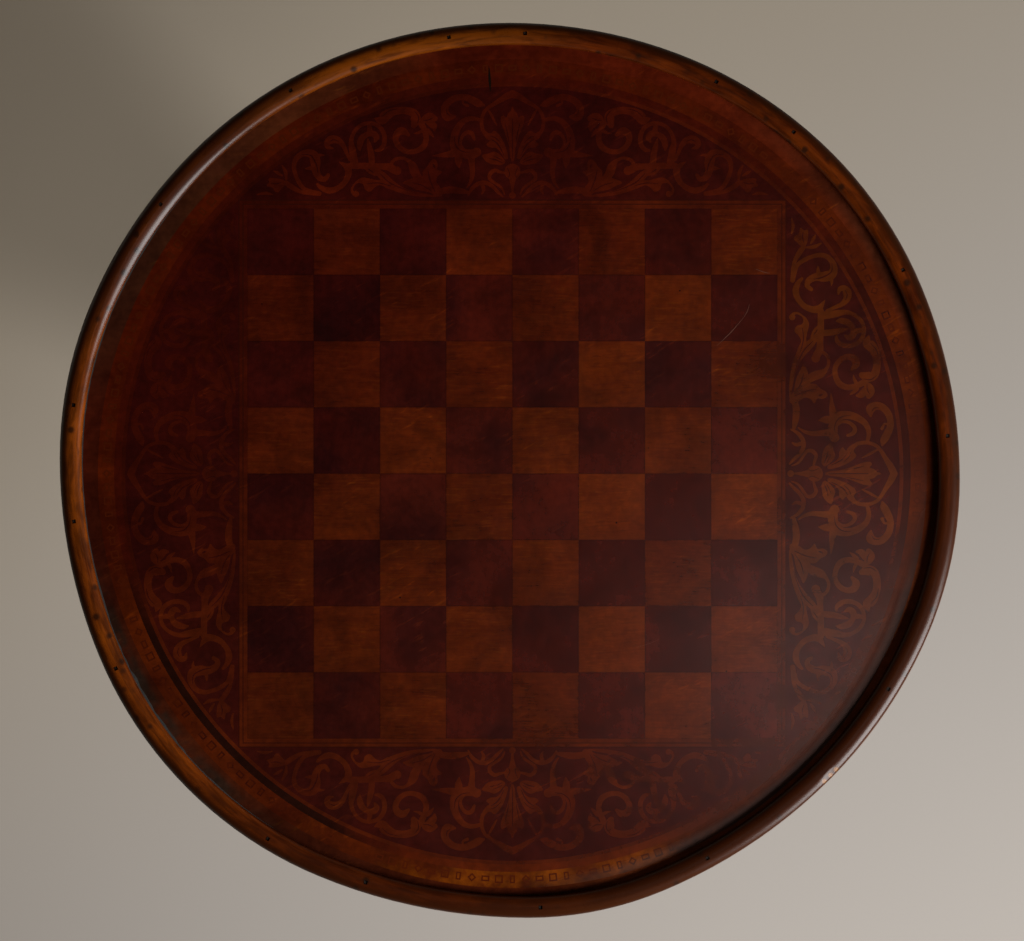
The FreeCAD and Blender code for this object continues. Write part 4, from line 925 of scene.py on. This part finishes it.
def make_spring(material):
    """Round-wire compression spring with closed ends, built at one length; the drawn bolt squeezes it against the
    case's wall.
    """
    low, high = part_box("catch_spring")
    wire, turns, steps, sides = 0.45 * MM, 4.5, 26, 10
    closed = 0.1  # share of the turns that lie closed at either end, and share of the length that is climbed evenly
    x, z = (low.x + high.x) / 2, (low.z + high.z) / 2
    coil = (high.x - low.x) / 2 - wire
    length = high.y - low.y - 2 * wire
    total = round(turns * steps)
    rings = []
    for number in range(total + 1):
        turn = math.tau * number / steps
        out = Vector((math.cos(turn), 0, math.sin(turn)))
        share = min(max((number / total - closed) / (1 - 2 * closed), 0.0), 1.0)
        climbed = closed * number / total + (1 - closed) * share
        centre = Vector((x, high.y - wire - length * climbed, z)) + out * coil
        angles = [math.tau * side / sides for side in range(sides)]
        rings.append([centre + out * (wire * math.cos(a)) + Vector((0, wire * math.sin(a), 0)) for a in angles])
    spring = add_piece("coil_spring", skinned(rings), "top", material, True, ["catch_spring"])
    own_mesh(spring)


def make_screws(name, places, direction, outline, slot_width, body, material, node):
    """Slotted screws, each drawn from its head's face along the direction that it is driven."""
    bm, slots = bmesh.new(), bmesh.new()
    reach = 1.1 * (max(radius for radius, _ in outline) * MM)
    half = slot_width * MM / 2
    turn = Vector((0, 0, 1)).rotation_difference(direction)
    golden_angle = 2.399
    for number, place in enumerate(places):
        skin_rings(bm, turned_rings(millimetres(outline), 28, place, direction))
        spin = turn @ Matrix.Rotation(golden_angle * number + 0.4, 3, "Z").to_quaternion()
        skin_rings(slots, [[place + spin @ Vector((x * reach, y * half, z)) for x, y in SQUARE]
                           for z in (-1.5 * MM, 0.8 * MM)])
    bmesh.ops.recalc_face_normals(slots, faces=slots.faces)
    piece = add_piece(name, bm, body, material, True, [node])
    cut_with(piece, slots)


def make_all_screws(iron, brass):
    up = Vector((0, 0, 1))
    flush = ((2.8, 0), (3.0, 0.25), (1.4, 1.5), (1.4, 5))
    domed = ((1.2, -2.0), (2.6, -1.7), (3.5, -1.0), (3.8, 0), (1.8, 0.05), (1.8, 6))
    inset, flange = 7 * MM, 2.5 * MM
    case_x = (case_high.x - case_low.x) / 2 - inset
    places = [Vector((x, y, case_high.z - flange)) for x in (-case_x, case_x)
              for y in (case_low.y + inset, case_high.y - inset)]
    make_screws("case_screw_heads", places, up, flush, 0.6, "top", brass, "catch_case_screws")
    keeper_z = (keeper_low.z + keeper_high.z) / 2
    places = [Vector((x * MM, keeper_low.y, keeper_z)) for x in (-14, 14)]
    make_screws("keeper_screw_heads", places, Vector((0, 1, 0)), flush, 0.6, "base", brass, "keeper_screws")
    places = [Vector((0, 0, plate_low.z))]
    for direction in LEG_DIRECTIONS.values():
        turn = math.radians(direction)
        places += [Vector((r * MM * math.cos(turn), r * MM * math.sin(turn), plate_low.z)) for r in (54, 70)]
    make_screws("plate_screw_heads", places, up, domed, 0.9, "base", iron, "tripod_plate_screws")


# ---------------------------------------------------------------- other finishes
def metal(name, colour, dull, rough, metallic=1.0, scale=60.0):
    """Metal that has dulled in patches."""
    finish = Finish(name, Metallic=metallic)
    patch = finish.noise(scale, 5.0, 0.65)
    finish.bump(finish.math("ADD", finish.noise(900.0, 2.0), patch), 0.1 * MM, 0.25)
    colour = finish.mix(finish.span(patch, 0.38, 0.66), colour, dull)
    return finish.done(colour, finish.math("MULTIPLY_ADD", patch, 0.3, rough - 0.15))


def dirt(name, dark, light, low, scale, *settings):
    """Fine matt grit between two colours; low is its least roughness."""
    finish = Finish(name, Specular_IOR_Level=0.0)
    grit = finish.noise(scale, *settings)
    return finish.done(finish.mix(grit, dark, light), finish.span(grit, 0, 1, low, 1.0))


def under_old_polish(finish, colour):
    """Uneven darkening, and sparse orange streaks where the polish has thinned."""
    blotch = finish.span(finish.noise(26.0, 4.0, 0.62, 0.8), 0.3, 0.7, 0.74, 1.24)
    fine = finish.span(finish.noise(210.0, 3.0, 0.6), 0.3, 0.7, 0.86, 1.14)
    colour = finish.tint(colour, finish.times(blotch, fine))
    colour = finish.tint(colour, (1.0, 0.70, 0.70), finish.toward(122, -0.02, 0.20))
    streak = finish.noise(1.0, 2.0, place=finish.stretch((60, 330, 200), (0, 0, -0.5)))
    patch = finish.span(finish.noise(19.0, 2.0), 0.48, 0.64, 0.0, 0.8)
    return finish.tint(colour, (1.7, 2.0, 1.2), finish.times(finish.span(streak, 0.58, 0.72), patch))


def rim_wear_and_painted_shade(finish, colour):
    """The rim is rubbed and orange at the left and rear, and darker at the right and front: partly wear, partly painted
    light and shade for how the bead faces the lamp. Painted shade darkens its outward slope, the bead beside the
    highlight at the rear left, the bead's top and inner side at the front right, and the bead at the front left. Small
    dark stains lie all round."""
    patch = finish.math("MULTIPLY_ADD", finish.noise(9.0), 0.6, -0.3)
    # Wear and painted light: the bead is lighter at the left and rear, where it faces the lamp and is rubbed, and
    # painted darker at the right and front.
    rubbed_and_lit = finish.math("ADD", finish.toward(163, 0.02, 0.27), patch, clamp=True)
    colour = finish.mix(rubbed_and_lit, finish.tint(colour, (0.46, 0.34, 0.30)), colour)
    around = finish.stretch((34, 34, 210), place=finish.round_the_top())
    blotch = finish.noise(1.0, 4.0, 0.62, 0.6, around)
    colour = finish.tint(colour, finish.span(blotch, 0.34, 0.66, 0.58, 1.28))
    gold = finish.times(finish.toward(106, 0.262, 0.294), finish.span(blotch, 0.30, 0.55, 0.1, 0.5))
    colour = finish.mix(gold, colour, (0.215, 0.052, 0.0020))
    facing = finish.node("ShaderNodeTexCoord").outputs["Normal"]
    lean = finish.math("SUBTRACT", finish.vector("DOT_PRODUCT", facing, finish.from_middle()[1]), 0.11)
    lean = finish.math("MULTIPLY_ADD", finish.noise(70.0, 3.0, 0.6), 0.22, lean)
    # Painted shade: the bead's outward-facing slope is darkened.
    colour = finish.mix(finish.span(lean, 0.0, 0.34, 0.0, 0.85), colour, (0.020, 0.0052, 0.0014))
    # Painted shade beside the highlight at the rear left, and over the bead at the front right.
    colour = finish.patches(colour, (140, 0.262, 0.292, 0.8, (0.034, 0.0075, 0.0020)),
                            (-46, 0.14, 0.28, 0.9, (0.034, 0.0074, 0.0011)))
    # Painted shade on the top and inner side of the bead at the front right.
    shaded_crown = finish.times(finish.toward(-46, 0.17, 0.28), finish.span(lean, 0.02, 0.26, 0.5, 0.0))
    colour = finish.mix(shaded_crown, colour, (0.009, 0.0022, 0.0009))
    # Painted shade: the bead is darker at the front left.
    colour = finish.patches(colour, (252, 0.26, 0.30, 0.5, (0.030, 0.0060, 0.0015)))
    colour = finish.mix(finish.specks(115.0, 0.12, 0.40, 0.85, 0.68, 0.78), colour, (0.014, 0.0045, 0.0018))
    # The chip at the front right shows bare wood.
    for aside in (-1, 0, 1):
        spot = (*edge_point(math.radians(CHIP_DEGREES + aside), CHIP_INSET), crown_z - 1.2 * MM)
        colour = finish.mix(finish.near(spot, 1.0 * MM, CHIP_REACH), colour, (0.15, 0.060, 0.012))
    return colour


def field_dust_and_painted_light(finish, colour):
    """The field is darker at the left, brown at the rear left, and dusty at the front left. At the right and front it
    carries painted shade and a painted haze towards the rim, and a painted pale patch where the rim's shadow falls."""
    radius, _ = finish.from_middle()
    colour = finish.tint(colour, (0.55, 0.70, 0.95), finish.toward(195, 0.02, 0.24))
    colour = finish.tint(colour, (0.97, 2.0, 2.4), finish.toward(135, 0.22, 0.275))
    # Painted shade and a painted greyish haze, growing towards the rim at the right and front.
    corner = finish.span(radius, band_radius, band_radius + 7.0 * MM, 0.15, 0.72)
    colour = finish.mix(finish.times(finish.toward(-28, -0.04, 0.24), corner), colour, (0.038, 0.014, 0.0072))
    # Painted light: a pale patch at the front right, where the rim's shadow falls.
    colour = finish.patches(colour, (-45, 0.215, 0.275, 0.85, (0.190, 0.050, 0.0180)))
    dust = finish.times(finish.span(finish.noise(24.0, 4.0, 0.65, 0.6), 0.34, 0.60), finish.toward(213, 0.256, 0.284))
    dust = finish.times(dust, finish.span(radius, band_radius + 1.0 * MM, band_radius + 6.0 * MM, 0.0, 0.8))
    return finish.mix(dust, colour, (0.015, 0.011, 0.0075))


def dull_and_shaded_corner(finish, colour):
    """The band and its marks at the front right, rubbed dull close to the rim and darkened there with painted shade."""
    radius, _ = finish.from_middle()
    corner = finish.span(radius, band_radius - 10.0 * MM, band_radius - 2.0 * MM, 0.0, 0.85)
    finish.dulled = finish.times(finish.toward(-45, 0.20, 0.27, 0.40), corner)
    # Painted shade on the band close to the rim at the front right.
    colour = finish.patches(colour, (-42, 0.22, 0.27, 0.7, (0.036, 0.0060, 0.0014)))
    return finish.mix(finish.times(finish.toward(-45, 0.19, 0.27), corner), colour, (0.040, 0.0095, 0.0030))


def streaked_band(finish, colour):
    """The band is dull at the front right, with painted shade close to the rim, and rubbed bright at the middle of the
    front.
    """
    colour = dull_and_shaded_corner(finish, faded((0.034, 0.0035, 0.0010), 0.0, 0.5)(finish, colour))
    rubbed = finish.span(finish.noise(34.0, 4.0, 0.65), 0.36, 0.66, 0.0, 0.85)
    return finish.mix(finish.times(finish.toward(275, 0.250, 0.275), rubbed), colour, (0.160, 0.034, 0.0008))


def worn_marks(finish, colour):
    """The band's marks have sunk into the polish at the rear, left and front right, and partly at the front."""
    worn = finish.span(finish.noise(90.0, 4.0, 0.6), 0.40, 0.60, 0.15, 0.8)
    lost = finish.most(finish.toward(124, -0.06, 0.10), finish.toward(272, 0.200, 0.250), worn)
    colour = finish.mix(finish.times(lost, 0.94), colour, (0.060, 0.0078, 0.0009))
    # Close to the rim at the front right, painted shade darkens the marks too.
    return dull_and_shaded_corner(finish, finish.patches(colour, (-42, 0.16, 0.25, 1.0, (0.052, 0.0065, 0.0010))))


def faded(ground, low, high, *losses):
    """Weather for an inlay that has darkened towards the ground round it, more in some places than in others.

    Each of the losses gives a direction, where the loss begins and ends that way, and how much goes there.
    """
    def weather(finish, colour):
        patch = finish.span(finish.noise(13.0, 3.0, 0.55, 0.5), 0.36, 0.64, low, high)
        return finish.mix(finish.most(patch, *(finish.toward(*loss) for loss in losses)), colour, ground)
    return weather


def sunk_and_shaded_ring(finish, colour):
    """The dark ring is darkest at the right and front, partly with painted shade, and nearly lost in the red of the
    rear.
    """
    # Painted shade: darker towards the right and front.
    colour = finish.tint(colour, (0.60, 0.54, 0.60), finish.toward(-28, -0.05, 0.22))
    return finish.patches(
        colour, (-42, 0.22, 0.26, 0.8, (0.036, 0.0050, 0.0012)), (222, 0.232, 0.258, 0.94, (0.010, 0.0022, 0.0009)),
        (275, 0.240, 0.264, 0.6, (0.092, 0.0120, 0.0008)), (128, 0.10, 0.25, 0.8, (0.049, 0.0058, 0.0009)),
    )


def dim_left(finish, colour):
    """The board's squares are darker and redder at its rear left and front left corners."""
    share = finish.most(finish.toward(148, 0.04, 0.22), finish.toward(218, 0.15, 0.23))
    return finish.tint(colour, (0.74, 0.72, 0.90), share)


def flecked(finish, colour):
    """Light squares: short bright dashes along the grain, and dark pinholes."""
    dash = finish.noise(1.0, 2.0, 0.5, place=finish.stretch((95, 760, 300)))
    sparse = finish.noise(34.0, 2.0)
    bright = finish.times(finish.span(dash, 0.54, 0.68), finish.span(sparse, 0.40, 0.60, 0.06, 0.38))
    colour = finish.mix(bright, colour, (0.100, 0.019, 0.0018))
    shade = finish.times(finish.span(dash, 0.30, 0.44, 1.0, 0.0), finish.span(sparse, 0.40, 0.60, 0.36, 0.10))
    colour = finish.mix(shade, colour, (0.026, 0.0034, 0.0009))
    pinhole = finish.specks(95.0, 0.04, 0.09, 0.8, 0.86, 0.88)
    return dim_left(finish, finish.mix(pinhole, colour, (0.010, 0.0016, 0.0009)))


def smoky(finish, colour):
    """Dark squares: nearly black clouds, and a few redder ones."""
    cloud = finish.noise(19.0, 2.0, 0.45, 0.3)
    colour = finish.mix(finish.span(cloud, 0.44, 0.70, 0.0, 0.5), colour, (0.010, 0.0012, 0.0017))
    colour = finish.mix(finish.span(cloud, 0.28, 0.50, 0.16, 0.0), colour, (0.052, 0.0045, 0.0013))
    return dim_left(finish, colour)


def floor_finish():
    finish = Finish("floor_paper")
    soft, tooth = finish.noise(1.4, 2.0), finish.noise(420.0)
    finish.bump(tooth, 0.1 * MM, 0.1)
    # Painted light: the floor is tinted warmer towards the rear left, where the table's shadow falls. A painted light
    # gradient darkens it towards the rear right and lightens it towards the front left.
    pale = finish.mix(soft, (0.386, 0.356, 0.325), (0.402, 0.371, 0.339))
    warm = finish.mix(soft, (0.432, 0.372, 0.292), (0.448, 0.387, 0.305))
    colour = finish.mix(finish.toward(118, -0.30, 0.42), pale, warm)
    colour = finish.tint(colour, finish.mix(finish.toward(35, -0.5, 0.5), (1.12,) * 3, (0.86,) * 3))
    # Far from the table the floor is seen to run into the backdrop.
    path = finish.node("ShaderNodeLightPath").outputs
    seen = finish.most(path["Is Camera Ray"], path["Is Glossy Ray"], path["Is Transmission Ray"])
    fade_start, fade_end = 0.8, 2.4
    far = finish.times(finish.span(finish.vector("LENGTH", finish.place), fade_start, fade_end), seen)
    finish.shader.inputs["Emission Color"].default_value = (*BACKDROP, 1.0)
    finish.feed(finish.shader.inputs["Emission Strength"], far)
    # From below, the floor is clear.
    behind = finish.node("ShaderNodeNewGeometry").outputs["Backfacing"]
    clear = finish.node("ShaderNodeBsdfTransparent").outputs[0]
    sided = finish.node("ShaderNodeMixShader", {0: behind, 1: finish.shader.outputs[0], 2: clear})
    finish.feed(finish.nodes["Material Output"].inputs["Surface"], sided.outputs[0])
    return finish.done(finish.mix(far, colour, (0.0, 0.0, 0.0)), finish.span(tooth, 0, 1, 0.85, 1.0))


# ---------------------------------------------------------------- the object
def dress_frame(materials):
    """Give the frame's own nodes their finishes."""
    for node, material in materials.items():
        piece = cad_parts[node]
        piece.data.materials.clear()
        piece.data.materials.append(material)


def veneer(name, dark, light, grain, mottle, weather=None, **settings):
    """Wood of the top's face, under its old polish."""
    return wood(name, dark, light, polish=0.22, grain=grain, mottle=mottle, weather=weather, aged=True, **settings)


def inlay_woods():
    """Wood of each lunette's scrolls: dark, light, and how it has faded."""
    brown, umber = (0.0360, 0.0034, 0.0008), (0.034, 0.0035, 0.0010)
    rows = {
        "right": ((0.0367, 0.0047, 0.0006), (0.0836, 0.0162, 0.0013), 0.0, 0.3, (-48, 0.20, 0.27, 0.75)),
        "rear": (brown, (0.0780, 0.0100, 0.0014), 0.0, 0.6, (20, 0.08, 0.24, 0.6)),
        "left": (brown, (0.0760, 0.0104, 0.0014), 0.15, 0.7, (110, 0.0, 0.16, 0.88)),
        "front": (brown, (0.0780, 0.0108, 0.0014), 0.05, 0.65, (-40, 0.17, 0.26, 0.8)),
    }
    return {
        side: veneer("inlay_" + side + "_wood", dark, light, 0.5, 0.9, faded(umber, *fading))
        for side, (dark, light, *fading) in rows.items()
    }


def build_object():
    quarter = math.pi / 2
    dark = veneer("dark_squares_wood", (0.0233, 0.0021, 0.0013), (0.0530, 0.0059, 0.0023), 0.3, 0.36, smoky,
                  turn=(0, 0, quarter), squares=0.5)
    light = veneer("light_squares_wood", (0.0392, 0.0039, 0.0006), (0.0840, 0.0123, 0.0012), 0.6, 0.45, flecked,
                   squares=0.5)
    ground = veneer("lunette_ground_wood", (0.0200, 0.0018, 0.0012), (0.0380, 0.0040, 0.0018), 0.3, 0.6)
    string = veneer("string_wood", (0.0374, 0.0043, 0.0007), (0.0770, 0.0104, 0.0013), 0.4, 0.9,
                    faded((0.032, 0.0034, 0.0008), 0.0, 0.55, (152, 0.06, 0.22, 0.8), (-42, 0.19, 0.25, 0.85)))
    ring = veneer("ring_wood", (0.0282, 0.0022, 0.0006), (0.0614, 0.0068, 0.0010), 0.3, 0.7, sunk_and_shaded_ring)
    band = veneer("band_wood", (0.0391, 0.0046, 0.0006), (0.0897, 0.0132, 0.0008), 0.5, 0.9, streaked_band, coat=0.0)
    field = veneer("field_wood", (0.0440, 0.0062, 0.0022), (0.0960, 0.0150, 0.0036), 0.4, 0.7, field_dust_and_painted_light,
                   coat=0.0, specular=0.0)
    line_wood = wood("line_wood", (0.016, 0.0018, 0.0009), (0.032, 0.0040, 0.0012), polish=0.22, grain=0.3)
    marks = wood("mark_wood", (0.016, 0.0016, 0.0010), (0.030, 0.0036, 0.0014), polish=0.22, grain=0.3, coat=0.0,
                 weather=worn_marks)
    rim = wood("rim_wood", (0.060, 0.0100, 0.0009), (0.200, 0.0430, 0.0022), polish=0.28, grain=0.9, mottle=0.8,
               coat=0.0, weather=rim_wear_and_painted_shade, bent=True, specular=0.24)
    scratch = wood("scratch_wood", (0.055, 0.018, 0.009), (0.090, 0.036, 0.019), polish=0.6, grain=0.3, coat=0.0)
    board = wood("board_wood", (0.045, 0.014, 0.006), (0.16, 0.065, 0.028), polish=0.62, mottle=0.8, coat=0.0)
    under = wood("under_wood", (0.050, 0.017, 0.007), (0.15, 0.058, 0.024), (0, 0, quarter), 0.55, mottle=0.6,
                 coat=0.05)
    wedge = wood("wedge_wood", (0.22, 0.12, 0.05), (0.42, 0.27, 0.13), (0, quarter, 0), 0.6, 0.8, coat=0.0)
    polished = (0.040, 0.009, 0.003), (0.17, 0.050, 0.014)
    turned = wood("turned_wood", *polished, (0, quarter, 0), 0.30, 0.9, mottle=0.6, coat=0.4)
    leg = wood("leg_wood", *polished, polish=0.32, grain=0.9, mottle=0.7, coat=0.35)
    iron = metal("old_iron", (0.045, 0.040, 0.036), (0.075, 0.040, 0.022), 0.62, 0.85)
    brad_iron = metal("brad_iron", (0.012, 0.010, 0.009), (0.03, 0.016, 0.009), 0.75, 0.6, 400.0)
    brass = metal("old_brass", (0.62, 0.42, 0.15), (0.27, 0.16, 0.055), 0.42)
    steel = metal("spring_wire", (0.30, 0.30, 0.31), (0.14, 0.11, 0.09), 0.45)
    wax = dirt("wax_and_dust", (0.014, 0.014, 0.014), (0.048, 0.047, 0.045), 0.7, 700.0, 4.0, 0.7)
    gap_dirt = dirt("gap_dirt", (0.001, 0.001, 0.001), (0.012, 0.007, 0.004), 0.8, 1500.0)
    dress_frame({
        "dark_squares": dark, "light_squares": light,
        "border_string_inner": string, "border_string_outer": string,
        "border_line_inner": line_wood, "border_line_outer": line_wood,
        "plank_front": board, "plank_middle": board, "plank_rear": board,
        "bearer_left": under, "bearer_right": under, "pivot_block": under, "tenon_wedge": wedge,
        "bearer_screws": iron, "tripod_plate": iron, "rim_brads": brad_iron,
        "keeper_plate": brass, "catch_case": brass, "catch_bolt": brass,
    })
    make_lunettes(ground, inlay_woods())
    make_rings(string, ring, band, field)
    make_band_marks(marks)
    make_rim(rim)
    make_wax_line(wax)
    make_shrinkage_gap(gap_dirt)
    make_scratches(scratch)
    make_pillar(turned)
    make_legs(leg)
    make_knob(brass)
    make_spring(steel)
    make_all_screws(iron, brass)


# ---------------------------------------------------------------- floor, light and camera
def area_light(name, place, target, size, power, colour):
    lamp = bpy.data.lights.new(name, "AREA")
    lamp.shape = "RECTANGLE"
    lamp.size, lamp.size_y = size
    lamp.energy = power
    lamp.color = colour
    light = new_object(name, lamp)
    light.location = place
    light.rotation_euler = (Vector(target) - Vector(place)).to_track_quat("-Z", "Y").to_euler()
    light.visible_camera = False


def make_stage():
    bm = bmesh.new()
    reach = 9.0
    bmesh.ops.create_grid(bm, x_segments=4, y_segments=4, size=reach)
    mesh = new_mesh("floor", bm)
    mesh.materials.append(floor_finish())
    floor = new_object("floor", mesh)
    bpy.context.scene.world = room_light()
    area_light("window", (1.18, -0.80, 1.39), (0.05, -0.05, 0.6), (0.8, 1.0), 49.0, (1.0, 0.99, 0.985))
    area_light("ceiling_panel", (0.43, -0.27, 3.0), (0.1, -0.05, 0.7), (0.27, 0.27), 0.5, (1.0, 0.82, 0.76))


def room_light():
    """Dim room: warm walls round the horizon under a dark ceiling. The camera, and low down a gloss, see the plain
    backdrop in their place."""
    world = bpy.data.worlds.new("room")
    world.use_nodes = True
    wires = Wires(world.node_tree)
    height = wires.split(wires.node("ShaderNodeTexCoord").outputs["Generated"])["Z"]
    walls = wires.nodes["Background"]
    walls.inputs["Color"].default_value = (1.0, 0.76, 0.46, 1.0)
    wall_top, wall_strength, ceiling_strength, backdrop_top = 0.8, 0.26, 0.003, 0.3
    wires.feed(walls.inputs["Strength"], wires.span(height, 0.0, wall_top, wall_strength, ceiling_strength))
    backdrop = wires.node("ShaderNodeBackground", {"Color": (*BACKDROP, 1.0)})
    path = wires.node("ShaderNodeLightPath").outputs
    mirrored = wires.times(path["Is Glossy Ray"], wires.span(height, 0.0, backdrop_top, 1.0, 0.0))
    seen = wires.most(path["Is Camera Ray"], path["Is Transmission Ray"], mirrored)
    either = wires.node("ShaderNodeMixShader", {0: seen, 1: walls.outputs[0], 2: backdrop.outputs[0]})
    wires.feed(wires.nodes["World Output"].inputs["Surface"], either.outputs[0])
    return world


def make_camera():
    """Straight above the top, with a lens that fits the surface's width into the picture's."""
    distance = 2.6
    surface_width = 0.6955
    camera = bpy.data.cameras.new("camera")
    camera.sensor_width = 36.0
    camera.lens = camera.sensor_width * distance / surface_width
    camera.clip_start, camera.clip_end = 0.05, 50.0
    viewer = new_object("camera", camera)
    viewer.location = (1.5 * MM, -0.1 * MM, surface_z + distance)
    bpy.context.scene.camera = viewer


build_object()
make_stage()
make_camera()
bpy.context.scene.view_settings.view_transform = "Standard"
